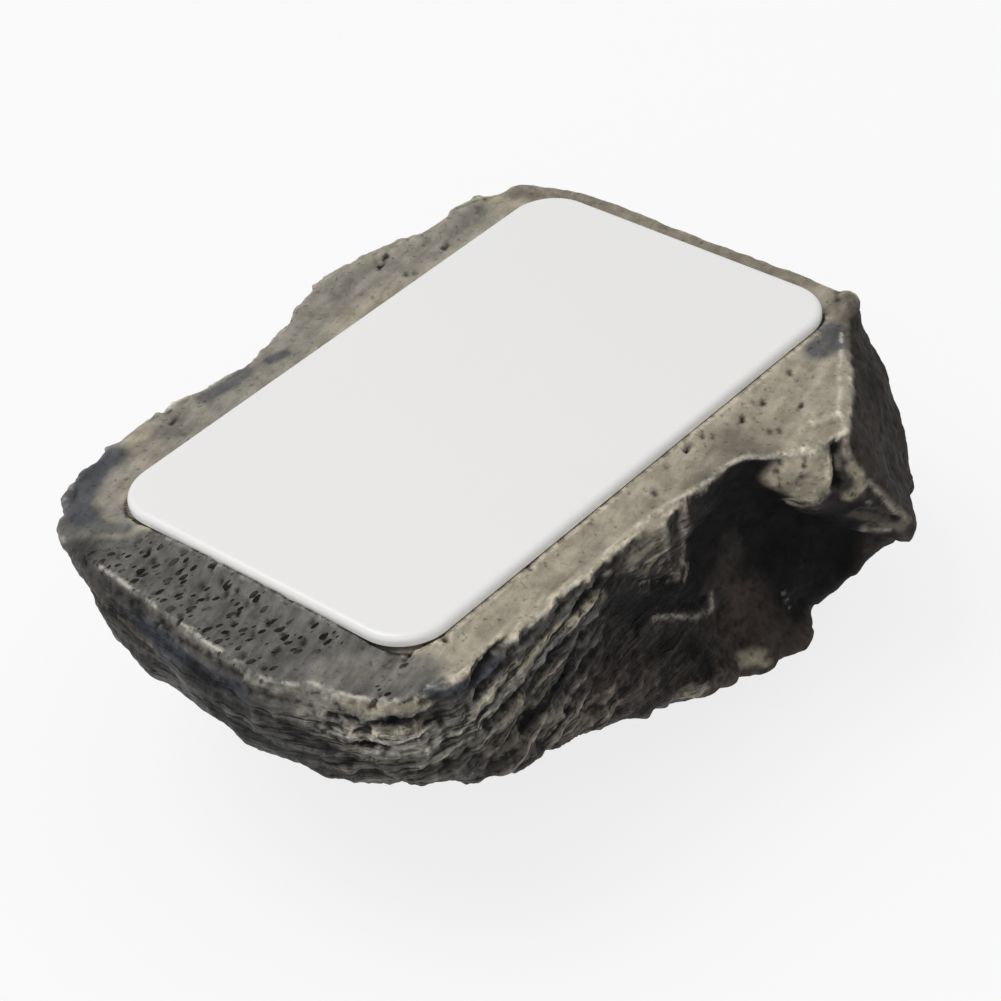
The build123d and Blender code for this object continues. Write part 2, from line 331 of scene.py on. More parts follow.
WASHES: tuple[Wash, ...] = (
    # the far strips of the flat face are greyer than the near one
    Wash(Paint.PALE_GREY, ((180, 425), (260, 372), (330, 300), (400, 262), (470, 216)), 5.0, 0.55),
    Wash(Paint.DULL_TAN, ((520, 190), (600, 200), (700, 242), (800, 282)), 3.0, 0.6),
    Wash(Paint.PALE_GREY, ((112, 480), (140, 460), (170, 440)), 3.0, 0.4),
    # the projecting end
    Wash(Paint.BROWN, ((862, 340), (880, 390), (895, 440), (905, 490)), 7.0),
    Wash(Paint.BLACK_WASH_AND_SHADE, ((862, 350), (876, 390), (886, 430)), 6.0, 0.25),
    Wash(Paint.SLATE, ((882, 452), (890, 478), (900, 500)), 2.2, 0.55),
    Wash(Paint.BROWN, ((836, 290), (850, 296), (856, 312)), 1.2, 0.6),
    # the hollow under the lip: brown paint, and near-black painted shadow under the overhang
    Wash(Paint.BROWN, ((650, 690), (700, 672), (690, 640), (640, 640)), 7.0),
    Wash(Paint.UMBER, ((550, 710), (600, 695), (640, 690)), 3.5, 0.9),
    Wash(Paint.BLACK_WASH_AND_SHADE, ((742, 484), (760, 505), (775, 530), (820, 530), (850, 520)), 7.5),
    Wash(Paint.BLACK_WASH_AND_SHADE, ((790, 560), (830, 560), (800, 590), (770, 570)), 5.5),
    Wash(Paint.BLACK_WASH_AND_SHADE, ((712, 500), (705, 530), (700, 560), (690, 590)), 4.5, 0.9),
    Wash(Paint.BLACK_WASH_AND_SHADE, ((610, 600), (640, 610), (660, 600), (680, 590)), 3.2, 0.85),
    Wash(Paint.BLACK_WASH_AND_SHADE, ((640, 650), (680, 640), (700, 655)), 3.0, 0.6),
    Wash(Paint.RED_BROWN, ((748, 600), (750, 612), (740, 635)), 4.0, 0.9),
    Wash(Paint.RED_BROWN, ((600, 676), (640, 668)), 3.5, 0.8),
    # slanting layers
    Wash(Paint.GREY, ((470, 722), (495, 692), (528, 664), (560, 634), (590, 606)), 3.2, 0.85),
    Wash(Paint.UMBER, ((490, 745), (540, 735), (590, 715)), 3.5, 0.9),
    Wash(Paint.DULL_TAN, ((500, 738), (550, 724), (610, 706)), 3.0, 0.45),
    Wash(Paint.OLIVE_TAN, ((469, 722), (498, 688), (528, 657), (558, 628), (600, 596)), 1.0, 0.9),
    Wash(Paint.DULL_TAN, ((502, 722), (528, 695), (560, 664)), 0.8, 0.8),
    Wash(Paint.BLACK_WASH_AND_SHADE, ((486, 720), (516, 690), (548, 660), (580, 628)), 0.6, 0.5),
    Wash(Paint.BLACK_WASH_AND_SHADE, ((505, 668), (536, 642), (566, 614), (596, 592)), 0.5, 0.6),
    # painted shadow: a dark blue line in the groove under the lip
    Wash(Paint.DEEP_BLUE, ((425, 694), (450, 693), (478, 680), (498, 662)), 1.0, 0.9),
    Wash(Paint.BLACK_WASH_AND_SHADE, ((520, 728), (545, 706), (559, 682), (574, 650)), 0.9, 0.9),
    Wash(Paint.BLACK_WASH_AND_SHADE, ((556, 690), (580, 668), (604, 640)), 1.2, 0.7),
    # plate, drips and step below the lip
    # painted shadow just under the lip
    Wash(Paint.BLACK_WASH_AND_SHADE, ((700, 500), (720, 488), (745, 472)), 1.4, 0.5),
    Wash(Paint.TAN, ((634, 556), (646, 548), (658, 534), (662, 548), (650, 562)), 1.7, 0.4),
    Wash(Paint.DULL_TAN, ((664, 530), (663, 548), (660, 570)), 0.7, 0.9),
    Wash(Paint.DULL_TAN, ((682, 500), (685, 526), (682, 560), (677, 577)), 0.8, 0.9),
    Wash(Paint.TAN, ((778, 478), (790, 468), (815, 460), (826, 470), (806, 490)), 2.4),
    Wash(Paint.TAN, ((790, 500), (812, 499)), 0.9),
    Wash(Paint.OLIVE_TAN, ((785, 482), (800, 494), (820, 490)), 1.5, 0.5),
    Wash(Paint.DULL_TAN, ((846, 440), (848, 456)), 0.8, 0.9),
    Wash(Paint.OLIVE_TAN, ((852, 468), (859, 476), (860, 488), (848, 496)), 1.0, 0.95),
    Wash(Paint.UMBER, ((858, 512), (878, 514), (894, 520)), 2.0, 0.9),
    Wash(Paint.DULL_TAN, ((866, 527), (885, 528), (900, 526)), 1.1, 0.7),
    Wash(Paint.DULL_TAN, ((876, 488), (890, 503), (908, 520)), 0.7, 0.7),
    Wash(Paint.OLIVE_TAN, ((742, 660), (754, 656), (765, 658)), 1.4, 0.8),
    Wash(Paint.DULL_TAN, ((678, 698), (700, 692)), 1.5, 0.8),
    Wash(Paint.DULL_TAN, ((652, 617), (690, 616), (712, 608)), 0.4, 0.5),
    # near corner and the left flank
    Wash(Paint.SLATE, ((76, 565), (105, 605), (145, 640), (190, 680), (240, 715), (300, 750)), 5.0),
    Wash(Paint.WARM_GREY, ((320, 700), (350, 730), (390, 752), (440, 745), (480, 730)), 4.0, 0.95),
    Wash(Paint.OLIVE_TAN, ((350, 703), (375, 708), (400, 708), (425, 702)), 1.0, 0.7),
    Wash(Paint.OLIVE_TAN, ((352, 731), (380, 733), (405, 731), (420, 728)), 0.8, 0.6),
    Wash(Paint.DULL_TAN, ((345, 747), (356, 750)), 0.6, 0.7),
    Wash(Paint.DEEP_BLUE, ((130, 615), (165, 645), (205, 675), (240, 690)), 1.4, 0.9),
    Wash(Paint.BLACK_WASH_AND_SHADE, ((200, 700), (250, 735), (300, 762)), 1.2, 0.5),
    Wash(Paint.DULL_TAN, ((84, 580), (110, 610), (150, 645)), 0.7, 0.5),
    # flat face
    Wash(Paint.GREY, ((66, 534), (84, 532), (104, 528), (124, 528)), 1.6, 0.95),
    Wash(Paint.GREY, ((70, 524), (84, 520), (96, 524)), 2.0, 0.95),
    Wash(Paint.BLUE_GREY, ((112, 456), (96, 466), (84, 488), (74, 508), (84, 516)), 3.0, 0.95),
    Wash(Paint.DEEP_BLUE, ((108, 458), (92, 470), (80, 490)), 1.6, 0.35),
    Wash(Paint.BLUE_GREY, ((205, 398), (232, 382), (245, 372)), 1.6, 0.8),
    Wash(Paint.BLUE_GREY, ((270, 360), (284, 354)), 1.2, 0.9),
    Wash(Paint.BLUE_GREY, ((830, 330), (834, 342), (818, 350)), 2.4, 0.85),
    Wash(Paint.WARM_GREY, ((330, 666), (380, 676), (425, 668)), 2.8, 0.9),
    Wash(Paint.PALE_GREY, ((112, 496), (116, 512), (128, 520)), 1.6, 0.5),
)


LAYER_SLANT = 0.3


class Grid:
    """The vertices of a mesh as arrays, in millimetres, with the brushes that work them."""

    def __init__(self, mesh: bpy.types.Mesh) -> None:
        """Reads a mesh.

        Args:
            mesh: the mesh to read, and later to write back to.
        """
        self.mesh = mesh
        count = len(mesh.vertices)
        flat = np.empty(count * 3, np.float32)
        mesh.vertices.foreach_get("co", flat)
        self.points = flat.reshape(-1, 3).astype(float) / MM
        mesh.vertex_normals.foreach_get("vector", flat)
        self.normals = flat.reshape(-1, 3).astype(float)
        edges = np.empty(len(mesh.edges) * 2, np.int32)
        mesh.edges.foreach_get("vertices", edges)
        self.edges = edges.reshape(-1, 2)

    def write(self) -> None:
        """Puts the points back into the mesh."""
        self.mesh.vertices.foreach_set("co", (self.points * MM).astype(np.float32).ravel())
        self.mesh.update()

    def averaged(self, values: np.ndarray, rounds: int) -> np.ndarray:
        """Averages values with their neighbours' over the surface.

        Args:
            values: one row a vertex.
            rounds: how often the values spread by one edge.

        Returns:
            The averaged values, in the same shape.
        """
        first, second = self.edges[:, 0], self.edges[:, 1]
        count = len(self.points)
        degree = np.bincount(self.edges.ravel(), minlength=count).clip(1)
        columns = values.reshape(count, -1).copy()
        for _ in range(rounds):
            for k in range(columns.shape[1]):
                column = columns[:, k]
                total = np.bincount(first, column[second], count) + np.bincount(
                    second, column[first], count
                )
                columns[:, k] = 0.5 * column + 0.5 * total / degree
        return columns.reshape(values.shape)

    def hollowness(self, rounds: int) -> np.ndarray:
        """Tells how deep each vertex lies in a hollow, in millimetres; ridges are negative."""
        return ((self.averaged(self.points, rounds) - self.points) * self.normals).sum(axis=1)

    def near(self, path_mm: np.ndarray, radius_mm: float) -> tuple[np.ndarray, np.ndarray]:
        """Finds the vertices close to a path.

        Args:
            path_mm: points along the path.
            radius_mm: how far from the path to look.

        Returns:
            The vertices' indices and their distances from the path.
        """
        low, high = path_mm.min(0) - radius_mm, path_mm.max(0) + radius_mm
        inside = np.flatnonzero(((self.points > low) & (self.points < high)).all(axis=1))
        gaps = self.points[inside, None, :] - path_mm[None, :, :]
        distance = np.sqrt((gaps**2).sum(axis=2)).min(axis=1) if len(inside) else np.empty(0)
        close = distance < radius_mm
        return inside[close], distance[close]

    def store(self, name: str, values: np.ndarray) -> None:
        """Keeps a number for each vertex as a named attribute."""
        layer = self.mesh.attributes.get(name) or self.mesh.attributes.new(name, "FLOAT", "POINT")
        layer.data.foreach_set("value", values.astype(np.float32))

    def store_colour(self, name: str, values: np.ndarray) -> None:
        """Keeps a colour for each vertex as a named attribute."""
        layer = self.mesh.attributes.new(name, "FLOAT_COLOR", "POINT")
        padded = np.concatenate([values, np.ones((len(values), 1))], axis=1)
        layer.data.foreach_set("color", padded.astype(np.float32).ravel())


def pit_strokes() -> tuple[Stroke, ...]:
    """Turns the places of the pits into short grooves that all lie one way."""
    reach_x, reach_y = PIT_REACH_PX
    return tuple(
        Stroke(((x - reach_x, y - reach_y), (x + reach_x, y + reach_y)), 0.36, -0.6, Mark.PIT)
        for x, y in PITS
    )


def falloff(distance: np.ndarray, radius: float) -> np.ndarray:
    """Returns a smooth weight, 1 at no distance and 0 at the radius."""
    t = np.clip(1.0 - distance / radius, 0.0, 1.0)
    return t * t * (3.0 - 2.0 * t)


def new_piece(name: str, mesh: bpy.types.Mesh) -> bpy.types.Object:
    """Links a mesh into the scene as an object at the origin."""
    piece = bpy.data.objects.new(name, mesh)
    bpy.context.scene.collection.objects.link(piece)
    return piece


def baked(piece: bpy.types.Object) -> bpy.types.Mesh:
    """Applies all modifiers of a piece and swaps the result in as its mesh.

    Args:
        piece: the object whose modifiers are applied.

    Returns:
        The new mesh.
    """
    depsgraph = bpy.context.evaluated_depsgraph_get()
    mesh = bpy.data.meshes.new_from_object(piece.evaluated_get(depsgraph))
    piece.modifiers.clear()
    old, piece.data = piece.data, mesh
    bpy.data.meshes.remove(old)
    mesh.name = piece.name
    return mesh


# --------------------------------------------------------------------------- geometry nodes


class NodeBench:
    """Adds nodes to a tree and joins them, left to right."""

    def __init__(self, tree: bpy.types.NodeTree) -> None:
        """Starts on a tree."""
        self.tree = tree
        self.column = 0

    def add(self, kind: str, **settings: object) -> bpy.types.Node:
        """Adds a node and sets its properties.

        Args:
            kind: the node's Blender type.
            settings: properties of the node; names of inputs are set with join or value.

        Returns:
            The new node.
        """
        node = self.tree.nodes.new(kind)
        node.location = (self.column * 180, 0)
        self.column += 1
        for key, value in settings.items():
            setattr(node, key, value)
        return node

    def join(self, source: bpy.types.NodeSocket, target: bpy.types.NodeSocket) -> None:
        """Links an output to an input."""
        self.tree.links.new(source, target)

    def feed(self, target: bpy.types.NodeSocket, value: object) -> None:
        """Links a socket to an input, or sets the input to a plain value."""
        if isinstance(value, bpy.types.NodeSocket):
            self.join(value, target)
        else:
            target.default_value = value

    def maths(self, operation: str, first: object, second: object = 0.0) -> bpy.types.NodeSocket:
        """Adds a Math node.

        Args:
            operation: the node's operation.
            first: a socket or a number.
            second: a socket or a number.

        Returns:
            The node's output.
        """
        node = self.add("ShaderNodeMath", operation=operation)
        self.feed(node.inputs[0], first)
        self.feed(node.inputs[1], second)
        return node.outputs[0]

    def scaled(self, vector: object, amount: object) -> bpy.types.NodeSocket:
        """Multiplies a vector by a number."""
        node = self.add("ShaderNodeVectorMath", operation="SCALE")
        self.feed(node.inputs[0], vector)
        self.feed(node.inputs["Scale"], amount)
        return node.outputs[0]

    def noise(self, vector: object, scale: object, detail: float, roughness: float, seed: float = 0.0) -> bpy.types.NodeSocket:
        """Adds four-dimensional noise between 0 and 1.

        Args:
            vector: where it is read.
            scale: features per metre.
            detail: octaves.
            roughness: how strong the finer octaves are.
            seed: the fourth coordinate.

        Returns:
            The noise's factor.
        """
        node = self.add("ShaderNodeTexNoise", noise_dimensions="4D")
        self.feed(node.inputs["Vector"], vector)
        self.feed(node.inputs["Scale"], scale)
        self.feed(node.inputs["W"], seed)
        node.inputs["Detail"].default_value = detail
        node.inputs["Roughness"].default_value = roughness
        return node.outputs[0]

    def ranged(self, value: object, low: float, high: float, to_low: float = 0.0, to_high: float = 1.0) -> bpy.types.NodeSocket:
        """Maps a range of values to another, clamped at both ends."""
        node = self.add("ShaderNodeMapRange", interpolation_type="SMOOTHSTEP")
        self.feed(node.inputs["Value"], value)
        for name, number in (("From Min", low), ("From Max", high), ("To Min", to_low), ("To Max", to_high)):
            node.inputs[name].default_value = number
        return node.outputs[0]


@dataclass(frozen=True)
class WeatheredSkin:
    """Geometry Nodes that roughen the stone between its listed marks."""

    lump_depth_mm: float = 1.3
    lump_size_mm: float = 9.0
    chip_depth_mm: float = 0.75
    chip_size_mm: float = 3.0
    grit_depth_mm: float = 0.3
    grit_size_mm: float = 1.1
    scallop_depth_mm: float = 0.4
    scallop_size_mm: float = 2.4
    layer_depth_mm: float = 0.85
    layer_pitch_mm: float = 1.3
    slant_depth_mm: float = 1.9
    face_depth_mm: float = 0.14
    swell_mm: float = 0.08
    seed: float = 4.0

    def tree(self) -> bpy.types.NodeTree:
        """Builds the node tree.

        Returns:
            A tree whose inputs are this skin's sizes, in metres.
        """
        tree = bpy.data.node_groups.new("weathered_skin", "GeometryNodeTree")
        face = tree.interface
        face.new_socket("Geometry", in_out="INPUT", socket_type="NodeSocketGeometry")
        for name in ("Lump Depth", "Lump Size", "Chip Depth", "Chip Size", "Grit Depth", "Grit Size",
                     "Scallop Depth", "Scallop Size", "Layer Depth", "Layer Pitch", "Slant Depth", "Face Depth",
                     "Swell", "Seed"):
            face.new_socket(name, in_out="INPUT", socket_type="NodeSocketFloat")
        face.new_socket("Material", in_out="INPUT", socket_type="NodeSocketMaterial")
        face.new_socket("Geometry", in_out="OUTPUT", socket_type="NodeSocketGeometry")
        bench = NodeBench(tree)
        ins = bench.add("NodeGroupInput").outputs
        place = bench.add("GeometryNodeInputPosition").outputs[0]
        normal = bench.add("GeometryNodeInputNormal").outputs[0]
        sides = bench.add("GeometryNodeInputNamedAttribute", data_type="FLOAT")
        sides.inputs["Name"].default_value = "side_weight"
        bulk = bench.add("GeometryNodeInputNamedAttribute", data_type="FLOAT")
        bulk.inputs["Name"].default_value = "bulk_weight"
        calm = bench.add("GeometryNodeInputNamedAttribute", data_type="FLOAT")
        calm.inputs["Name"].default_value = "calm_weight"
        layered = bench.add("GeometryNodeInputNamedAttribute", data_type="FLOAT")
        layered.inputs["Name"].default_value = "layer_weight"

        def octave(size: object, depth: object, detail: float, shift: float, middle: float = 0.5) -> bpy.types.NodeSocket:
            seed = bench.maths("ADD", ins["Seed"], shift)
            value = bench.noise(place, bench.maths("DIVIDE", 1.0, size), detail, 0.55, seed)
            return bench.maths("MULTIPLY", bench.maths("SUBTRACT", value, middle), depth)

        lumps = bench.maths("MULTIPLY", octave(ins["Lump Size"], ins["Lump Depth"], 2.0, 0.0), bulk.outputs[0])
        chips = octave(ins["Chip Size"], ins["Chip Depth"], 3.0, 7.0)
        grit = octave(ins["Grit Size"], ins["Grit Depth"], 3.0, 13.0)
        # layers: noise squeezed across the bedding, which tips towards the near side
        tipped = bench.add("ShaderNodeVectorRotate", rotation_type="EULER_XYZ")
        bench.feed(tipped.inputs["Vector"], place)
        tipped.inputs["Rotation"].default_value = (0.05, 0.1, 0.0)
        bedding = bench.add("ShaderNodeVectorMath", operation="MULTIPLY")
        bench.feed(bedding.inputs[0], tipped.outputs[0])
        bedding.inputs[1].default_value = (0.07, 0.07, 1.0)
        strata = bench.noise(
            bedding.outputs[0], bench.maths("DIVIDE", 1.0, ins["Layer Pitch"]), 2.0, 0.5,
            bench.maths("ADD", ins["Seed"], 21.0),
        )
        layers = bench.maths("MULTIPLY", bench.maths("SUBTRACT", strata, 0.5), ins["Layer Depth"])
        layers = bench.maths("MULTIPLY", layers, layered.outputs[0])
        # under the lip the layers slant up towards the projecting end
        slanted = bench.add("GeometryNodeInputNamedAttribute", data_type="FLOAT")
        slanted.inputs["Name"].default_value = "slant_weight"
        raked = bench.add("ShaderNodeVectorRotate", rotation_type="EULER_XYZ")
        bench.feed(raked.inputs["Vector"], place)
        raked.inputs["Rotation"].default_value = (0.0, LAYER_SLANT, 0.0)
        drawn = bench.add("ShaderNodeVectorMath", operation="MULTIPLY")
        bench.feed(drawn.inputs[0], raked.outputs[0])
        drawn.inputs[1].default_value = (0.05, 0.3, 1.0)
        slats = bench.noise(
            drawn.outputs[0], bench.maths("DIVIDE", 0.7, ins["Layer Pitch"]), 2.0, 0.5,
            bench.maths("ADD", ins["Seed"], 27.0),
        )
        slats = bench.maths("MULTIPLY", bench.maths("SUBTRACT", slats, 0.5), ins["Slant Depth"])
        layers = bench.maths("ADD", layers, bench.maths("MULTIPLY", slats, slanted.outputs[0]))
        # scallops: shallow dishes that meet in sharp crests, as on chipped stone
        bent = bench.add("ShaderNodeVectorMath", operation="ADD")
        bench.feed(bent.inputs[0], place)
        sway = bench.noise(place, bench.maths("DIVIDE", 0.8, ins["Scallop Size"]), 1.0, 0.5, 3.0)
        bench.join(bench.maths("MULTIPLY", sway, ins["Scallop Size"]), bent.inputs[1])
        dishes = bench.add("ShaderNodeTexVoronoi", voronoi_dimensions="4D")
        bench.join(bent.outputs[0], dishes.inputs["Vector"])
        bench.join(bench.maths("DIVIDE", 1.0, ins["Scallop Size"]), dishes.inputs["Scale"])
        bench.join(ins["Seed"], dishes.inputs["W"])
        crests = bench.maths("SUBTRACT", bench.maths("POWER", dishes.outputs["Distance"], 2.0), 0.22)
        crests = bench.maths("MULTIPLY", crests, ins["Scallop Depth"])
        broken = bench.maths("SUBTRACT", 1.0, bench.maths("MULTIPLY", calm.outputs[0], 0.62))
        rough = bench.maths("ADD", bench.maths("ADD", chips, grit), crests)
        rough = bench.maths("MULTIPLY", rough, broken)
        rough = bench.maths("ADD", rough, layers)
        rough = bench.maths("ADD", bench.maths("MULTIPLY", rough, 2.0), ins["Swell"])
        rough = bench.maths("MULTIPLY", rough, sides.outputs[0])
        # the flat face is only lightly dimpled
        dimples = octave(ins["Chip Size"], ins["Face Depth"], 3.0, 31.0)
        flat = bench.maths("MULTIPLY", dimples, bench.maths("SUBTRACT", 1.0, sides.outputs[0]))
        lift = bench.maths("ADD", bench.maths("ADD", lumps, rough), flat)
        moved = bench.add("GeometryNodeSetPosition")
        bench.join(ins["Geometry"], moved.inputs["Geometry"])
        bench.join(bench.scaled(normal, lift), moved.inputs["Offset"])
        real = bench.add("GeometryNodeRealizeInstances")
        bench.join(moved.outputs[0], real.inputs[0])
        dressed = bench.add("GeometryNodeSetMaterial")
        bench.join(real.outputs[0], dressed.inputs["Geometry"])
        bench.join(ins["Material"], dressed.inputs["Material"])
        out = bench.add("NodeGroupOutput")
        bench.join(dressed.outputs[0], out.inputs["Geometry"])
        return tree

    def apply(self, piece: bpy.types.Object, material: bpy.types.Material) -> bpy.types.Mesh:
        """Weathers a piece and leaves it a plain mesh.

        Args:
            piece: an object with the attributes side_weight, bulk_weight, calm_weight, layer_weight
                and slant_weight.
            material: what the result is made of.

        Returns:
            The weathered mesh.
        """
        tree = self.tree()
        modifier = piece.modifiers.new("weathered skin", "NODES")
        modifier.node_group = tree
        values = {
            "Lump Depth": self.lump_depth_mm * MM, "Lump Size": self.lump_size_mm * MM,
            "Chip Depth": self.chip_depth_mm * MM, "Chip Size": self.chip_size_mm * MM,
            "Grit Depth": self.grit_depth_mm * MM, "Grit Size": self.grit_size_mm * MM,
            "Scallop Depth": self.scallop_depth_mm * MM, "Scallop Size": self.scallop_size_mm * MM,
            "Layer Depth": self.layer_depth_mm * MM, "Layer Pitch": self.layer_pitch_mm * MM,
            "Slant Depth": self.slant_depth_mm * MM,
            "Face Depth": self.face_depth_mm * MM, "Swell": self.swell_mm * MM,
            "Seed": self.seed, "Material": material,
        }
        for item in tree.interface.items_tree:
            if item.in_out == "INPUT" and item.name in values:
                modifier[item.identifier] = values[item.name]
        return baked(piece)


# --------------------------------------------------------------------------- finishes


def new_material(name: str) -> tuple[bpy.types.Material, NodeBench, bpy.types.Node]:
    """Starts a material.

    Args:
        name: the finish, in a maker's words.

    Returns:
        The material, a bench on its tree and its Principled BSDF.
    """
    material = bpy.data.materials.new(name)
    material.use_nodes = True
    tree = material.node_tree
    tree.nodes.clear()
    bench = NodeBench(tree)
    shader = bench.add("ShaderNodeBsdfPrincipled")
    out = bench.add("ShaderNodeOutputMaterial")
    bench.join(shader.outputs[0], out.inputs["Surface"])
    return material, bench, shader


def moulding_grain() -> bpy.types.NodeTree:
    """Builds the group that gives a moulded or painted surface its fine uneven height.

    Returns:
        A group with inputs Size and Seed and the output Height.
    """
    found = bpy.data.node_groups.get("moulding_grain")
    if found:
        return found
    tree = bpy.data.node_groups.new("moulding_grain", "ShaderNodeTree")
    tree.interface.new_socket("Scale", in_out="INPUT", socket_type="NodeSocketFloat")
    tree.interface.new_socket("Seed", in_out="INPUT", socket_type="NodeSocketFloat")
    tree.interface.new_socket("Height", in_out="OUTPUT", socket_type="NodeSocketFloat")
    bench = NodeBench(tree)
    ins = bench.add("NodeGroupInput").outputs
    place = bench.add("ShaderNodeTexCoord").outputs["Object"]
    height = bench.noise(place, ins["Scale"], 4.0, 0.6, ins["Seed"])
    out = bench.add("NodeGroupOutput")
    bench.join(height, out.inputs["Height"])
    return tree


def add_grain(bench: NodeBench, shader: bpy.types.Node, scale: float, depth_mm: float, seed: float) -> None:
    """Bumps a shader with the shared moulding grain.

    Args:
        bench: the material's bench.
        shader: the Principled BSDF to bump.
        scale: features per metre.
        depth_mm: the height of the grain.
        seed: which grain.
    """
    group = bench.add("ShaderNodeGroup", node_tree=moulding_grain())
    group.inputs["Scale"].default_value = scale
    group.inputs["Seed"].default_value = seed
    bump = bench.add("ShaderNodeBump")
    bump.inputs["Distance"].default_value = depth_mm * MM
    bench.join(group.outputs["Height"], bump.inputs["Height"])
    bench.join(bump.outputs[0], shader.inputs["Normal"])


@dataclass(frozen=True)
class PlainFinish:
    """A finish of one colour with a fine grain: moulded plastic, rubber, glue."""

    name: str
    colour: Colour
    roughness: float
    grain_scale: float
    grain_depth_mm: float
    seed: float = 1.0
    mottle: float = 0.03

    def material(self) -> bpy.types.Material:
        """Returns the finish as a material."""
        material, bench, shader = new_material(self.name)
        place = bench.add("ShaderNodeTexCoord").outputs["Object"]
        cloud = bench.noise(place, 60.0, 2.0, 0.5, self.seed)
        mix = bench.add("ShaderNodeMix", data_type="RGBA")
        bench.join(cloud, mix.inputs["Factor"])
        shade = 1.0 - self.mottle
        mix.inputs["A"].default_value = (*(c * shade for c in self.colour), 1.0)
        mix.inputs["B"].default_value = (*self.colour, 1.0)
        bench.join(mix.outputs["Result"], shader.inputs["Base Color"])
        shader.inputs["Roughness"].default_value = self.roughness
        add_grain(bench, shader, self.grain_scale, self.grain_depth_mm, self.seed)
        return material


@dataclass(frozen=True)
class StonePaint:
    """The casting's paint: brushed colours, dark washes in the hollows that also paint their shade, a dry brush on the
    ridges and painted highlights along the rims.
    """

    cloud_scale: float = 420.0
    speck_scale: float = 1500.0
    hatch_scale: float = 900.0
    strata_scale: float = 900.0
    pit_scale: float = 1300.0
    grain_scale: float = 1900.0
    grain_depth_mm: float = 0.2
    strata_depth_mm: float = 0.3
    pit_depth_mm: float = 0.45
    gloss: float = 0.08

    def material(self) -> bpy.types.Material:
        """Returns the paint as a material that reads the stone's attributes."""
        material, bench, shader = new_material("painted_stone")
        place = bench.add("ShaderNodeTexCoord").outputs["Object"]
        ridge, glint = self._mask(bench, "ridge"), self._mask(bench, "glint")
        strata, cracks = self._strata(bench, place)
        pits = self._pits(bench, place)
        varied = self._brushed(bench, place)
        varied = bench.scaled(varied, strata)
        # the dark washes in the hollows also paint the shade there and the shadow along the cover's seam
        dark = self._mixed(bench, self._mask(bench, "wash_and_shade"), varied, Paint.BLACK_WASH_AND_SHADE.value)
        dark = self._mixed(bench, bench.maths("MAXIMUM", cracks, pits), dark, Paint.BLACK_WASH_AND_SHADE.value)
        # the dry brush takes the ridges; the rims and the listed edges get a pale painted highlight, broken up by noise
        dry = bench.ranged(bench.noise(place, 900.0, 3.0, 0.6, 9.0), 0.38, 0.6)
        ridge = bench.maths("MULTIPLY", ridge, dry)
        light = self._mixed(bench, ridge, dark, bench.scaled(varied, 2.3))
        highlight_breakup = bench.ranged(bench.noise(place, 480.0, 3.0, 0.6, 17.0), 0.42, 0.58)
        glint = bench.maths("MULTIPLY", glint, highlight_breakup)
        highlighted = self._mixed(bench, glint, light, Paint.HIGHLIGHT_TAN.value)
        bench.join(highlighted, shader.inputs["Base Color"])
        sheen = bench.ranged(bench.noise(place, 700.0, 2.0, 0.5, 12.0), 0.3, 0.7, 0.34, 0.58)
        dull = bench.maths("MULTIPLY", self._mask(bench, "smooth"), 0.5)
        bench.join(bench.maths("ADD", sheen, dull), shader.inputs["Roughness"])
        shader.inputs["Specular IOR Level"].default_value = self.gloss
        self._relief(bench, shader, strata, pits)
        return material

    def _mask(self, bench: NodeBench, name: str) -> bpy.types.NodeSocket:
        """Reads one of the stone's masks."""
        return bench.add("ShaderNodeAttribute", attribute_name=name).outputs["Fac"]

    def _mixed(
        self, bench: NodeBench, factor: object, first: object, second: object
    ) -> bpy.types.NodeSocket:
        """Mixes two colours.

        Args:
            bench: the material's bench.
            factor: how much of the second colour shows.
            first: the colour below.
            second: the colour above, as a socket or as a plain colour.

        Returns:
            The mixed colour.
        """
        node = bench.add("ShaderNodeMix", data_type="RGBA")
        bench.feed(node.inputs["Factor"], factor)
        bench.feed(node.inputs["A"], first)
        plain = isinstance(second, tuple)
        bench.feed(node.inputs["B"], (*second, 1.0) if plain else second)
        return node.outputs["Result"]

    def _laid(
        self, bench: NodeBench, place: bpy.types.NodeSocket, turn: float, stretch: float
    ) -> bpy.types.NodeSocket:
        """Stretches the coordinates along one direction of the flat face.

        Args:
            bench: the material's bench.
            place: the coordinates.
            turn: the direction's angle from +X, in radians.
            stretch: how many times longer the pattern gets that way.

        Returns:
            The stretched coordinates.
        """
        turned = bench.add("ShaderNodeMapping", vector_type="TEXTURE")
        bench.feed(turned.inputs["Vector"], place)
        turned.inputs["Rotation"].default_value = (0.0, 0.0, turn)
        turned.inputs["Scale"].default_value = (stretch, 1.0, 1.0)
        return turned.outputs[0]

    def _brushed(self, bench: NodeBench, place: bpy.types.NodeSocket) -> bpy.types.NodeSocket:
        """Varies the paint with clouds, brush strokes and specks.

        Args:
            bench: the material's bench.
            place: the coordinates.

        Returns:
            The varied colour.
        """
        paint = bench.add("ShaderNodeAttribute", attribute_name="paint").outputs["Color"]
        cloud = bench.noise(place, self.cloud_scale, 4.0, 0.6, 2.0)
        varied = bench.scaled(paint, bench.ranged(cloud, 0.3, 0.7, 0.78, 1.2))
        strokes = bench.noise(self._laid(bench, place, 0.25, 5.0), self.hatch_scale, 3.0, 0.6, 6.0)
        strokes = bench.ranged(strokes, 0.32, 0.68, -0.26, 0.24)
        strokes = bench.maths("MULTIPLY", strokes, self._mask(bench, "hatch"))
        varied = bench.scaled(varied, bench.maths("ADD", 1.0, strokes))
        speck = bench.noise(place, self.speck_scale, 2.0, 0.5, 5.0)
        return bench.scaled(varied, bench.ranged(speck, 0.3, 0.42, 0.6, 1.0))

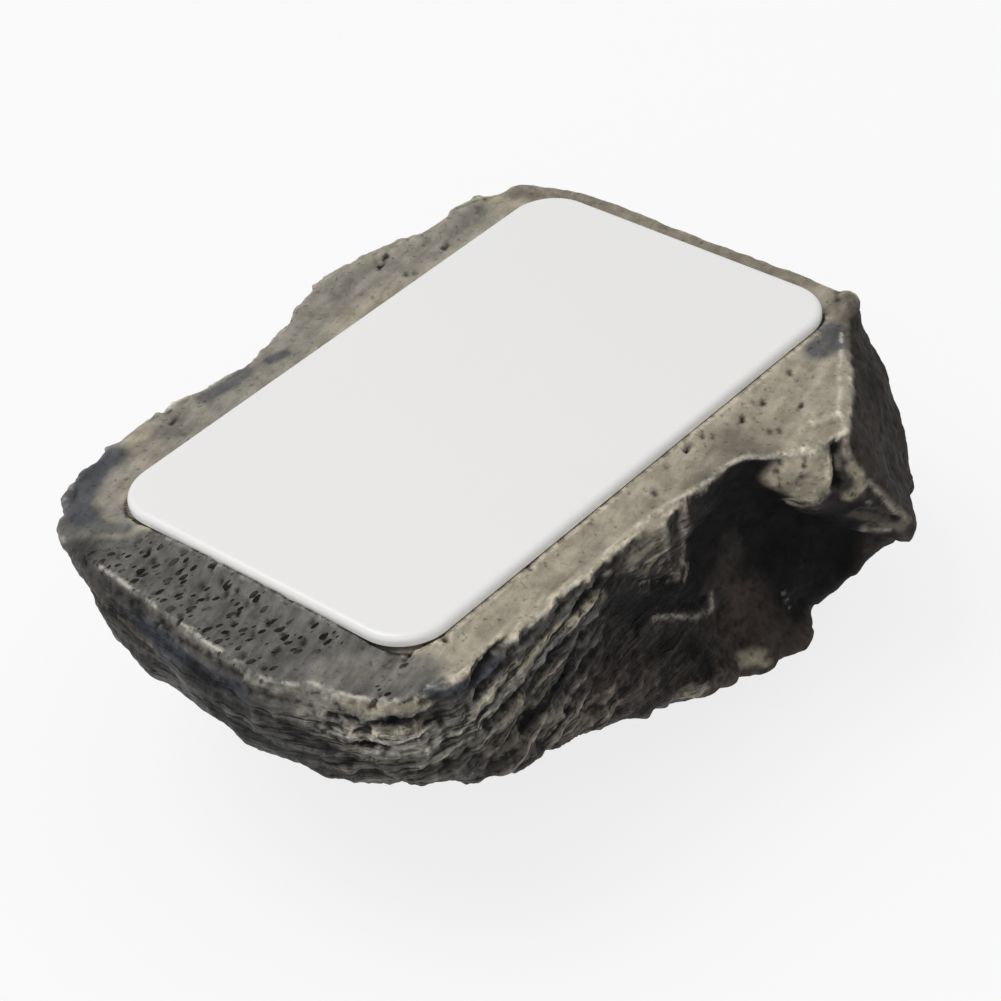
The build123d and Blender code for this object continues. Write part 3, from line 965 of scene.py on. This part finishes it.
    def _strata(
        self, bench: NodeBench, place: bpy.types.NodeSocket
    ) -> tuple[bpy.types.NodeSocket, bpy.types.NodeSocket]:
        """Draws the fine layers of the sides and the cracks between them.

        Args:
            bench: the material's bench.
            place: the coordinates.

        Returns:
            A factor for the colour and the mask of the cracks.
        """
        layered = self._mask(bench, "layer")
        tipped = bench.add("ShaderNodeMapping", vector_type="POINT")
        bench.feed(tipped.inputs["Vector"], place)
        tipped.inputs["Rotation"].default_value = (0.05, 0.1, 0.0)
        tipped.inputs["Scale"].default_value = (0.11, 0.11, 1.0)
        raked = bench.add("ShaderNodeMapping", vector_type="TEXTURE")
        bench.feed(raked.inputs["Vector"], place)
        raked.inputs["Rotation"].default_value = (0.0, -LAYER_SLANT, 0.0)
        raked.inputs["Scale"].default_value = (14.0, 4.0, 1.0)
        slant = self._mask(bench, "slant")
        value = self._blended(
            bench, slant, bench.noise(tipped.outputs[0], self.strata_scale, 4.0, 0.65, 8.0),
            bench.noise(raked.outputs[0], self.strata_scale * 0.8, 4.0, 0.65, 8.0),
        )
        tone = bench.ranged(value, 0.36, 0.64, -0.55, 0.6)
        tone = bench.maths("ADD", 1.0, bench.maths("MULTIPLY", tone, layered))
        other = self._blended(
            bench, slant, bench.noise(tipped.outputs[0], self.strata_scale * 0.6, 3.0, 0.6, 15.0),
            bench.noise(raked.outputs[0], self.strata_scale * 0.45, 3.0, 0.6, 15.0),
        )
        middle = bench.maths("ABSOLUTE", bench.maths("SUBTRACT", other, 0.5))
        cracks = bench.ranged(middle, 0.006, 0.03, 0.9, 0.0)
        return tone, bench.maths("MULTIPLY", cracks, layered)

    def _blended(
        self, bench: NodeBench, factor: object, first: object, second: object
    ) -> bpy.types.NodeSocket:
        """Mixes two numbers.

        Args:
            bench: the material's bench.
            factor: how much of the second number counts.
            first: the number at 0.
            second: the number at 1.

        Returns:
            The mixed number.
        """
        node = bench.add("ShaderNodeMix", data_type="FLOAT")
        bench.feed(node.inputs["Factor"], factor)
        bench.feed(node.inputs["A"], first)
        bench.feed(node.inputs["B"], second)
        return node.outputs["Result"]

    def _pits(self, bench: NodeBench, place: bpy.types.NodeSocket) -> bpy.types.NodeSocket:
        """Scatters small dark pits over the pitted part of the flat face.

        Args:
            bench: the material's bench.
            place: the coordinates.

        Returns:
            The mask of the pits.
        """
        cells = bench.add("ShaderNodeTexVoronoi", voronoi_dimensions="2D")
        bench.join(self._laid(bench, place, -0.34, 1.9), cells.inputs["Vector"])
        cells.inputs["Scale"].default_value = self.pit_scale
        parts = bench.add("ShaderNodeSeparateColor")
        bench.join(cells.outputs["Color"], parts.inputs[0])
        reach = bench.maths("SUBTRACT", bench.maths("MULTIPLY", parts.outputs[0], 0.62), 0.2)
        depth = bench.maths("SUBTRACT", reach, cells.outputs["Distance"])
        mask = bench.ranged(depth, 0.0, 0.07)
        return bench.maths("MULTIPLY", mask, self._mask(bench, "pitted"))

    def _relief(
        self,
        bench: NodeBench,
        shader: bpy.types.Node,
        strata: bpy.types.NodeSocket,
        pits: bpy.types.NodeSocket,
    ) -> None:
        """Bumps the shader with the grain, the layers and the pits.

        Args:
            bench: the material's bench.
            shader: the Principled BSDF to bump.
            strata: the layers' factor.
            pits: the mask of the pits.
        """
        add_grain(bench, shader, self.grain_scale, self.grain_depth_mm, 3.0)
        below = shader.inputs["Normal"].links[0].from_socket
        bench.feed(below.node.inputs["Strength"], bench.maths("SUBTRACT", 1.0, self._mask(bench, "smooth")))
        for height, depth_mm in ((strata, self.strata_depth_mm), (pits, -self.pit_depth_mm)):
            bump = bench.add("ShaderNodeBump", invert=depth_mm < 0.0)
            bump.inputs["Distance"].default_value = abs(depth_mm) * MM
            bench.join(height, bump.inputs["Height"])
            bench.join(below, bump.inputs["Normal"])
            below = bump.outputs[0]
        bench.join(below, shader.inputs["Normal"])


# --------------------------------------------------------------------------- the stone


@dataclass
class StoneCasting:
    """The cast and painted stone, with the pocket that the tray is glued into."""

    camera: PhotoCamera
    nodes: dict[str, bpy.types.Object]
    first_voxel_mm: float = 0.7
    skin_voxel_mm: float = 0.28
    most_triangles: int = 190_000
    soften_rounds: int = 6
    cover_gap_mm: float = 0.05
    end_gap_mm: float = 0.1
    seam_reach_mm: float = 0.34
    cover_radius_mm: float = 4.6
    pit_reach_mm: float = 2.6
    rim_glint_mm: float = 0.37
    line_glint_mm: float = 0.46
    line_glint: float = 0.32
    glint_step_px: float = 1.5
    bank_height_mm: float = 1.0
    rim_band_mm: float = 1.0
    face_mm: float = field(init=False)
    pocket_low: Vector = field(init=False)
    pocket_high: Vector = field(init=False)

    def __post_init__(self) -> None:
        """Reads the places that the stone's skin has to keep from the frame."""
        self.pocket_low, self.pocket_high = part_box("key_tray")
        self.face_mm = self.pocket_high.z / MM
        self.box_low, self.box_high = (np.array(corner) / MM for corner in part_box("rock_shell"))

    def build(self) -> bpy.types.Object:
        """Makes the stone.

        Returns:
            The finished piece, riding on the rock.
        """
        outside, pocket = self._cad_halves()
        self._remesh(outside, self.first_voxel_mm)
        self._soften(outside)
        self._work_by_hand(outside)
        self._remesh(outside, self.skin_voxel_mm)
        self._weigh_sides(outside)
        material = StonePaint().material()
        WeatheredSkin().apply(outside, material)
        self._keep_in_box(outside)
        self._thin_out(outside)
        self._cut_pocket(outside, pocket)
        self._brush_paint(outside)
        for polygon in outside.data.polygons:
            polygon.use_smooth = True
        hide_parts("rock_shell")
        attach(outside, "rock")
        return outside

    def _cad_halves(self) -> tuple[bpy.types.Object, bpy.types.Object]:
        """Splits the CAD stone into its closed outside and a solid in the shape of its pocket."""
        halves = []
        for keep_pocket in (False, True):
            form = bmesh.new()
            form.from_mesh(self.nodes["rock_shell"].data)
            bmesh.ops.remove_doubles(form, verts=form.verts, dist=0.002 * MM)
            margin = 1.0 * MM
            inner = []
            for face in form.faces:
                middle = face.calc_center_median()
                inside = (
                    self.pocket_low.x - margin < middle.x < self.pocket_high.x + margin
                    and self.pocket_low.y - margin < middle.y < self.pocket_high.y + margin
                    and self.pocket_low.z - margin < middle.z < self.pocket_high.z - 0.01 * MM
                )
                if inside:
                    inner.append(face)
            chosen = set(inner)
            drop = [f for f in form.faces if (f in chosen) != keep_pocket]
            bmesh.ops.delete(form, geom=drop, context="FACES")
            rim = [edge for edge in form.edges if edge.is_boundary]
            if keep_pocket:
                raised = bmesh.ops.extrude_edge_only(form, edges=rim)["geom"]
                for vert in (g for g in raised if isinstance(g, bmesh.types.BMVert)):
                    vert.co.z += 3.0 * MM
                rim = [edge for edge in form.edges if edge.is_boundary]
            bmesh.ops.holes_fill(form, edges=rim, sides=0)
            bmesh.ops.recalc_face_normals(form, faces=form.faces)
            mesh = bpy.data.meshes.new("pocket_form" if keep_pocket else "rock_stone_skin")
            form.to_mesh(mesh)
            form.free()
            halves.append(new_piece(mesh.name, mesh))
        return halves[0], halves[1]

    def _remesh(self, piece: bpy.types.Object, voxel_mm: float) -> None:
        """Gives a piece an even net of vertices."""
        modifier = piece.modifiers.new("even net", "REMESH")
        modifier.mode = "VOXEL"
        modifier.voxel_size = voxel_mm * MM
        baked(piece)

    def _on_face(self, grid: Grid, band_mm: float) -> np.ndarray:
        """Weighs how surely each vertex belongs to the flat face: 1 on it, 0 down the sides."""
        depth = self.face_mm - grid.points[:, 2]
        facing = np.clip((grid.normals[:, 2] - 0.6) / 0.35, 0.0, 1.0)
        return np.clip(1.0 - depth / band_mm, 0.0, 1.0) * facing

    def _soften(self, piece: bpy.types.Object) -> None:
        """Rounds the facets' edges and leaves the flat face and its rim alone."""
        grid = Grid(piece.data)
        depth = self.face_mm - grid.points[:, 2]
        weight = np.clip((depth - 0.4) / self.rim_band_mm, 0.0, 1.0)[:, None]
        soft = grid.averaged(grid.points, self.soften_rounds)
        crown = grid.points[:, 2] < 0.3
        weight[crown] = 0.0
        grid.points += (soft - grid.points) * weight
        grid.write()

    def _cast(self, tree: BVHTree, path: tuple[Pixel, ...], step_px: float = 4.0) -> np.ndarray:
        """Lays a path of pixels on the stone.

        Args:
            tree: the stone's faces.
            path: corners of the path, in pixels of the photograph.
            step_px: how far apart the rays are that find the path.

        Returns:
            Points along the path on the stone, in millimetres.
        """
        corners = np.array(path, float)
        samples = [corners[0]]
        for start, end in zip(corners[:-1], corners[1:]):
            steps = max(1, int(np.linalg.norm(end - start) / step_px))
            samples += [start + (end - start) * (k + 1) / steps for k in range(steps)]
        hits = []
        for sample in samples:
            place, _, _, _ = tree.ray_cast(self.camera.place(), self.camera.ray(tuple(sample)))
            if place is not None:
                hits.append(np.array(place) / MM)
        return np.array(hits).reshape(-1, 3)

    def _tree(self, piece: bpy.types.Object) -> BVHTree:
        """Returns a piece's faces, ready for casting rays."""
        return BVHTree.FromObject(piece, bpy.context.evaluated_depsgraph_get())

    def _work_by_hand(self, piece: bpy.types.Object) -> None:
        """Lays down the marks that the photograph shows."""
        tree = self._tree(piece)
        grid = Grid(piece.data)
        lift = np.zeros(len(grid.points))
        pits = np.zeros(len(grid.points))
        for stroke in (*STROKES, *pit_strokes()):
            path = self._cast(tree, stroke.path)
            if not len(path):
                LOG.warning("a stroke at %s misses the stone", stroke.path[0])
                continue
            reach = stroke.width_mm * (1.0 if stroke.mark is Mark.SCOOP else 1.4)
            found, distance = grid.near(path, reach)
            target = pits if stroke.mark is Mark.PIT else lift
            target[found] += stroke.lift_mm * falloff(distance, reach)
        on_face = self._on_face(grid, 0.5)
        lift = np.where(lift < 0.0, lift * (1.0 - on_face), lift)
        grid.points += grid.normals * (lift + pits)[:, None]
        grid.write()

    def _weigh_sides(self, piece: bpy.types.Object) -> None:
        """Stores how strongly each vertex may be weathered."""
        grid = Grid(piece.data)
        on_face = self._on_face(grid, 0.8)
        side = 1.0 - grid.averaged(on_face, 2)
        crown = np.clip(grid.points[:, 2] / 1.2, 0.0, 1.0)
        depth = self.face_mm - grid.points[:, 2]
        bulk = np.clip((depth - 1.0) / 5.0, 0.0, 1.0) * crown
        points_x = grid.points[:, 0]
        south = np.clip((-grid.points[:, 1] - 20.0) / 2.0, 0.0, 1.0)
        hollow = south * np.clip((points_x + 4.0) / 7.0, 0.0, 1.0)
        east = np.clip((grid.points[:, 0] - 33.0) / 3.0, 0.0, 1.0)
        west = np.clip((-grid.points[:, 0] - 38.0) / 3.0, 0.0, 1.0) * np.clip((grid.points[:, 1] + 20.0) / 5.0, 0.0, 1.0)
        streaked = 0.6 * np.clip((points_x + 14.0) / 4.0, 0.0, 1.0) * south
        calm = np.maximum.reduce([hollow, east, 0.8 * west, streaked])
        grid.store("side_weight", side * crown)
        grid.store("bulk_weight", bulk)
        grid.store("calm_weight", calm)
        even = 1.0 - 0.45 * np.clip((points_x + 26.0) / 6.0, 0.0, 1.0) * south
        slant = self._slanted(grid.points)
        grid.store("layer_weight", (1.0 - calm) * even * (1.0 - slant) * np.clip((8.0 - points_x) / 10.0, 0.3, 1.0))
        grid.store("slant_weight", slant)

    def _slanted(self, points: np.ndarray) -> np.ndarray:
        """Weighs where the layers slant: on the near side, between the near corner and the hollow."""
        south = np.clip((-points[:, 1] - 18.5) / 2.5, 0.0, 1.0)
        after_corner = np.clip((points[:, 0] + 35.0) / 5.0, 0.0, 1.0)
        before_plate = np.clip((0.3 * (points[:, 2] - self.face_mm) - 9.0 - points[:, 0]) / 4.0, 0.0, 1.0)
        return south * after_corner * before_plate

    def _from_cover(self, points: np.ndarray) -> np.ndarray:
        """Returns how far each point lies outside the cover's outline, in millimetres."""
        low, high = (np.array(corner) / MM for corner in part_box("cover"))
        radius = self.cover_radius_mm
        half = np.array([high[0] - radius, high[1] - radius])
        beyond = np.maximum(np.abs(points[:, :2]) - half, 0.0)
        inward = np.minimum(np.abs(points[:, :2]) - half, 0.0).max(axis=1)
        return np.hypot(beyond[:, 0], beyond[:, 1]) + np.where(inward < 0.0, inward, 0.0) - radius

    def _draw_in(self, points: np.ndarray, outside: np.ndarray, weight: np.ndarray) -> None:
        """Draws the stone right up to the cover's outline, so that the seam closes.

        Args:
            points: the stone's vertices in millimetres, changed in place.
            outside: how far each lies outside the cover's outline.
            weight: how strongly each may move.
        """
        half = np.array(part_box("cover")[1])[:2] / MM - self.cover_radius_mm
        beyond = np.maximum(np.abs(points[:, :2]) - half, 0.0) * np.sign(points[:, :2])
        away = beyond / np.linalg.norm(beyond, axis=1).clip(1e-6)[:, None]
        seam = (outside > 0.0) & (outside < self.seam_reach_mm)
        short_end = np.clip((-points[:, 0] - 34.0) / 1.0, 0.0, 1.0)
        gap = self.cover_gap_mm + self.end_gap_mm * short_end
        slide = np.where(seam, (gap - outside) * weight, 0.0)
        points[:, :2] += away * slide[:, None]

    def _keep_in_box(self, piece: bpy.types.Object) -> None:
        """Banks the stone up to the cover's near sides and keeps it inside the CAD stone's box."""
        grid = Grid(piece.data)
        points = grid.points
        outside = self._from_cover(points)
        near_side = np.clip((-points[:, 0] - 33.0) / 2.0, 0.0, 1.0) * np.clip(1.0 - (points[:, 1] / 19.0) ** 4, 0.0, 1.0)
        near_side = np.maximum(near_side, 0.6 * np.clip((-points[:, 1] - 19.0) / 2.0, 0.0, 1.0))
        bank = falloff(outside - self.cover_gap_mm, 3.5) * (outside > 0.0)
        on_face = np.clip((points[:, 2] - (self.face_mm - 0.6)) / 0.4, 0.0, 1.0)
        points[:, 2] += self.bank_height_mm * bank * near_side * on_face
        self._draw_in(points, outside, on_face * (near_side > 0.05))
        covered = outside <= 0.0
        above = covered & (points[:, 2] > self.face_mm)
        points[above, 2] = self.face_mm
        low, high = self.box_low.copy(), self.box_high.copy()
        high[2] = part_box("cover")[1].z / MM
        grid.points = np.clip(points, low + 0.02, high - 0.02)
        grid.write()

    def _thin_out(self, piece: bpy.types.Object) -> None:
        """Takes away triangles where the skin is plain."""
        count = len(piece.data.polygons) * 2
        if count > self.most_triangles:
            thin = piece.modifiers.new("thin out", "DECIMATE")
            thin.ratio = self.most_triangles / count
            thin.vertex_group = self._plain_parts(piece)
            thin.vertex_group_factor = 1.0
            baked(piece)
            piece.vertex_groups.clear()

    def _plain_parts(self, piece: bpy.types.Object) -> str:
        """Marks where the net may be coarser: the crown's underside and the far side.

        Args:
            piece: the stone.

        Returns:
            The name of the vertex group.
        """
        grid = Grid(piece.data)
        plain = np.clip((4.0 - grid.points[:, 2]) / 3.0, 0.0, 1.0)
        far = np.clip((grid.points[:, 1] - 14.0) / 6.0, 0.0, 1.0)
        far = far * np.clip((self.face_mm - 2.0 - grid.points[:, 2]) / 3.0, 0.0, 1.0)
        covered = np.clip(-self._from_cover(grid.points) - 1.0, 0.0, 1.0) * (grid.points[:, 2] > 30.0)
        plain = np.maximum.reduce([plain, far, covered])
        group = piece.vertex_groups.new(name="plain_parts")
        for step in range(5):
            level = 0.2 + 0.2 * step
            chosen = np.flatnonzero(np.round(np.clip(plain, 0.2, 1.0) * 5.0) / 5.0 == np.round(level, 1))
            group.add(chosen.tolist(), level, "REPLACE")
        return group.name

    def _cut_pocket(self, piece: bpy.types.Object, pocket: bpy.types.Object) -> None:
        """Cuts the tray's pocket into the weathered stone."""
        cut = piece.modifiers.new("pocket", "BOOLEAN")
        cut.operation = "DIFFERENCE"
        cut.solver = "EXACT"
        cut.object = pocket
        baked(piece)
        mesh = pocket.data
        bpy.data.objects.remove(pocket)
        bpy.data.meshes.remove(mesh)

    def _brush_paint(self, piece: bpy.types.Object) -> None:
        """Brushes the paints and works out the dark washes, which also paint the shade in the hollows and the shadow
        along the cover's seam, the dry brush and the painted highlights.
        """
        tree = self._tree(piece)
        grid = Grid(piece.data)
        points, normals = grid.points, grid.normals
        on_face = np.clip((points[:, 2] - (self.face_mm - 0.9)) / 0.6, 0.0, 1.0)
        on_face = on_face * np.clip((normals[:, 2] - 0.2) / 0.4, 0.0, 1.0)

        def named(paint: Paint) -> np.ndarray:
            return np.array(paint.value)[None, :]

        def blend(base: np.ndarray, paint: Paint, weight: np.ndarray) -> np.ndarray:
            return base + (named(paint) - base) * np.clip(weight, 0.0, 1.0)[:, None]

        colour = np.repeat(named(Paint.BROWN), len(points), axis=0)
        # the left flank is greyer than the near side, and the far side brown
        grey_flank = np.clip((-points[:, 0] - 12.0) / 12.0, 0.0, 1.0)
        colour = blend(colour, Paint.GREY, 0.45 * grey_flank)
        far = np.clip((points[:, 1] - 10.0) / 10.0, 0.0, 1.0) * np.clip((36.0 - points[:, 0]) / 3.0, 0.0, 1.0)
        colour = blend(colour, Paint.DULL_TAN, 0.35 * far)
        # the flat face: tan, and grey towards the near short end
        colour = blend(colour, Paint.TAN, on_face)
        tan_corner = 0.9 * np.maximum(points[:, 1] - 13.0, 0.0)
        grey_end = np.clip((-points[:, 0] - 33.6 - tan_corner) / 1.4, 0.0, 1.0)
        grey_end = np.maximum(grey_end, np.clip((-points[:, 0] - 38.5) / 1.5, 0.0, 1.0))
        colour = blend(colour, Paint.GREY, on_face * grey_end)
        grid.store("hatch", on_face * (0.55 + 0.45 * grey_end))
        pitted = np.zeros(len(points))
        for pit in PITS:
            found, distance = grid.near(self._cast(tree, (pit,)), self.pit_reach_mm)
            pitted[found] = np.maximum(pitted[found], np.clip(1.5 - distance / self.pit_reach_mm * 1.5, 0.0, 1.0))
        grid.store("pitted", pitted * on_face * grey_end)
        flanks = np.clip((points[:, 2] - 0.5) / 1.0, 0.0, 1.0) * (1.0 - on_face)
        smooth_hollow = np.clip((-points[:, 1] - 18.0) / 2.0, 0.0, 1.0) * np.clip((points[:, 0] + 2.0) / 7.0, 0.0, 1.0)
        smooth_end = np.clip((points[:, 0] - 34.0) / 3.0, 0.0, 1.0)
        deep = np.clip((self.face_mm - points[:, 2] - 0.8) / 2.0, 0.25, 1.0)
        smooth = np.maximum(smooth_hollow, smooth_end)
        grid.store("layer", flanks * deep * (1.0 - 0.97 * smooth))
        grid.store("smooth", 0.6 * smooth * (1.0 - on_face))
        grid.store("slant", self._slanted(points))
        for wash_and_shade in WASHES:
            path = self._cast(tree, wash_and_shade.path)
            if not len(path):
                LOG.warning("a wash at %s misses the stone", wash_and_shade.path[0])
                continue
            found, distance = grid.near(path, wash_and_shade.radius_mm)
            weight = np.zeros(len(points))
            weight[found] = falloff(distance, wash_and_shade.radius_mm) * 1.6 * wash_and_shade.strength
            colour = blend(colour, wash_and_shade.paint, np.minimum(weight, wash_and_shade.strength))
        grid.store_colour("paint", colour)
        # the hollows, fine and broad, get the dark washes, which also stand in for the shade that falls in them
        fine = grid.hollowness(4)
        broad = grid.hollowness(40)
        # painted shadow: the stone darkens along the cover's edge, where the seam lies in shade, and a little under the
        # cover
        seam = falloff(np.abs(self._from_cover(points) - 0.05), 0.4) * (points[:, 2] > self.face_mm - 1.0)
        seam_shade = seam * np.clip((-points[:, 0] - 30.0) / 3.0, 0.25, 1.0)
        covered = (self._from_cover(points) < -0.4) & (points[:, 2] > self.face_mm - 1.0)
        seam_shade = np.where(covered, 0.3, seam_shade)
        hollow = np.clip(fine / 0.05, 0.0, 1.0) * 0.8 + np.clip((broad - 0.1) / 0.5, 0.0, 1.0) * 0.5
        grid.store("wash_and_shade", np.clip(np.maximum(hollow, seam_shade), 0.0, 1.0))
        grid.store("ridge", np.clip((-fine - 0.02) / 0.07, 0.0, 1.0) * 0.8)
        # painted highlights: pale lines along the rims and the listed edges
        glint = np.zeros(len(points))
        rims = (NEAR_RIM, EAST_RIM, WEST_RIM, NEAR_WEST_RIM)
        for paths, band, strength in (
            (rims, self.rim_glint_mm, 0.8), (GLINTS, self.line_glint_mm, self.line_glint),
        ):
            for path in paths:
                found, distance = grid.near(self._cast(tree, path, self.glint_step_px), band)
                glint[found] = np.maximum(glint[found], strength * falloff(distance, band))
        grid.store("glint", glint * np.clip((-fine + 0.08) / 0.06, 0.0, 1.0))


# --------------------------------------------------------------------------- the compartment


@dataclass
class KeyCompartment:
    """The tray in the stone, the glue that holds it and the foam on its floor."""

    nodes: dict[str, bpy.types.Object]

    def build(self) -> None:
        """Dresses the tray and the glue and replaces the foam's plain solid."""
        dress(self.nodes["key_tray"], PlainFinish("white_moulded_tray", (0.8, 0.8, 0.79), 0.32, 500.0, 0.02).material())
        dress(self.nodes["tray_glue"], PlainFinish("set_glue", (0.6, 0.56, 0.46), 0.3, 900.0, 0.08).material())
        self._foam()

    def _foam(self) -> bpy.types.Object:
        """Makes the foam pad with its soft edges and open cells."""
        form = bmesh.new()
        form.from_mesh(self.nodes["foam_pad"].data)
        bmesh.ops.remove_doubles(form, verts=form.verts, dist=0.002 * MM)
        mesh = bpy.data.meshes.new("rattle_pad")
        form.to_mesh(mesh)
        form.free()
        pad = new_piece("rattle_pad", mesh)
        remesh = pad.modifiers.new("even net", "REMESH")
        remesh.mode = "VOXEL"
        remesh.voxel_size = 0.4 * MM
        baked(pad)
        low, high = (np.array(corner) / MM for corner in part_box("foam_pad"))
        grid = Grid(pad.data)
        grid.points = np.clip(grid.points, low, high)
        soft = grid.averaged(grid.points, 3)
        grid.points = soft
        grid.write()
        material, bench, shader = new_material("charcoal_foam")
        place = bench.add("ShaderNodeTexCoord").outputs["Object"]
        cells = bench.add("ShaderNodeTexVoronoi")
        bench.feed(cells.inputs["Vector"], place)
        cells.inputs["Scale"].default_value = 1700.0
        shade = bench.ranged(cells.outputs["Distance"], 0.0, 0.6, 0.012, 0.06)
        bench.join(shade, shader.inputs["Base Color"])
        shader.inputs["Roughness"].default_value = 0.9
        bump = bench.add("ShaderNodeBump")
        bump.inputs["Distance"].default_value = 0.2 * MM
        bench.join(cells.outputs["Distance"], bump.inputs["Height"])
        bench.join(bump.outputs[0], shader.inputs["Normal"])
        pad.data.materials.clear()
        pad.data.materials.append(material)
        for polygon in pad.data.polygons:
            polygon.use_smooth = True
        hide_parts("foam_pad")
        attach(pad, "rock")
        return pad


@dataclass
class SnapCover:
    """The white cover and the seal under it."""

    nodes: dict[str, bpy.types.Object]

    def build(self) -> None:
        """Dresses the cover and its seal."""
        dress(self.nodes["cover"], PlainFinish("white_glossy_cover", (0.89, 0.883, 0.875), 0.26, 300.0, 0.01, 3.0, 0.015).material())
        dress(self.nodes["cover_seal"], PlainFinish("black_seal", (0.012, 0.012, 0.012), 0.7, 2000.0, 0.05).material())


def dress(node: bpy.types.Object, material: bpy.types.Material) -> None:
    """Gives a CAD node its finish."""
    for slot in node.material_slots:
        slot.material = material
    if not node.material_slots:
        node.data.materials.append(material)


# --------------------------------------------------------------------------- studio


@dataclass
class Studio:
    """A plain pale floor and soft light from above."""

    floor_half_m: float = 1.5
    world_strength: float = 0.55
    key_watts: float = 2.6
    fill_watts: float = 0.8

    def build(self) -> None:
        """Adds the floor, the lamps and the world, and sets the view transform."""
        bpy.context.scene.view_settings.view_transform = "Standard"
        self._floor()
        self._world()
        self._lamp("key_light", (-0.25, 0.25, 0.75), self.key_watts, 0.5)
        self._lamp("fill_light", (-0.6, -0.45, 0.45), self.fill_watts, 0.5)

    def _white_when_seen(self, bench: NodeBench, shade: bpy.types.NodeSocket, white: float) -> bpy.types.NodeSocket:
        """Mixes a shader with plain white for rays from the camera, gloss and glass."""
        path = bench.add("ShaderNodeLightPath").outputs
        seen = bench.maths("MAXIMUM", path["Is Camera Ray"], path["Is Glossy Ray"])
        seen = bench.maths("MAXIMUM", seen, path["Is Transmission Ray"])
        glow = bench.add("ShaderNodeEmission")
        glow.inputs["Strength"].default_value = 1.0
        mix = bench.add("ShaderNodeMixShader")
        bench.join(bench.maths("MULTIPLY", seen, white), mix.inputs["Fac"])
        bench.join(shade, mix.inputs[1])
        bench.join(glow.outputs[0], mix.inputs[2])
        return mix.outputs[0]

    def _floor(self) -> None:
        """Adds the floor, which keeps a faint shadow."""
        form = bmesh.new()
        bmesh.ops.create_grid(form, x_segments=1, y_segments=1, size=self.floor_half_m)
        mesh = bpy.data.meshes.new("studio_floor")
        form.to_mesh(mesh)
        form.free()
        floor = new_piece("studio_floor", mesh)
        material = bpy.data.materials.new("studio_white")
        material.use_nodes = True
        material.node_tree.nodes.clear()
        bench = NodeBench(material.node_tree)
        diffuse = bench.add("ShaderNodeBsdfDiffuse")
        diffuse.inputs["Color"].default_value = (0.86, 0.86, 0.86, 1.0)
        out = bench.add("ShaderNodeOutputMaterial")
        bench.join(self._white_when_seen(bench, diffuse.outputs[0], 0.8), out.inputs["Surface"])
        mesh.materials.append(material)

    def _world(self) -> None:
        """Adds a plain white world."""
        world = bpy.data.worlds.new("studio_world")
        world.use_nodes = True
        world.node_tree.nodes.clear()
        bench = NodeBench(world.node_tree)
        light = bench.add("ShaderNodeBackground")
        light.inputs["Strength"].default_value = self.world_strength
        seen = bench.add("ShaderNodeBackground")
        seen.inputs["Strength"].default_value = 1.0
        for node in (light, seen):
            node.inputs["Color"].default_value = (1.0, 1.0, 1.0, 1.0)
        path = bench.add("ShaderNodeLightPath").outputs
        mix = bench.add("ShaderNodeMixShader")
        bench.join(path["Is Camera Ray"], mix.inputs["Fac"])
        bench.join(light.outputs[0], mix.inputs[1])
        bench.join(seen.outputs[0], mix.inputs[2])
        out = bench.add("ShaderNodeOutputWorld")
        bench.join(mix.outputs[0], out.inputs["Surface"])
        bpy.context.scene.world = world

    def _lamp(self, name: str, place: tuple[float, float, float], watts: float, size: float) -> None:
        """Adds a soft square lamp that looks at the stone."""
        data = bpy.data.lights.new(name, "AREA")
        data.energy = watts
        data.size = size
        lamp = bpy.data.objects.new(name, data)
        lamp.location = place
        lamp.rotation_euler = (-Vector(place)).to_track_quat("-Z", "Y").to_euler()
        bpy.context.scene.collection.objects.link(lamp)


# --------------------------------------------------------------------------- all together


def main() -> None:
    """Builds the stone round the frame, piece by piece."""
    logging.basicConfig(level=logging.INFO, format="%(name)s: %(message)s")
    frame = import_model()
    camera = PhotoCamera()
    camera.build()
    Studio().build()
    stone = StoneCasting(camera, frame["nodes"]).build()
    LOG.info("stone: %d faces", len(stone.data.polygons))
    KeyCompartment(frame["nodes"]).build()
    LOG.info("compartment dressed")
    SnapCover(frame["nodes"]).build()
    LOG.info("cover dressed")


if __name__ == "__main__":
    main()
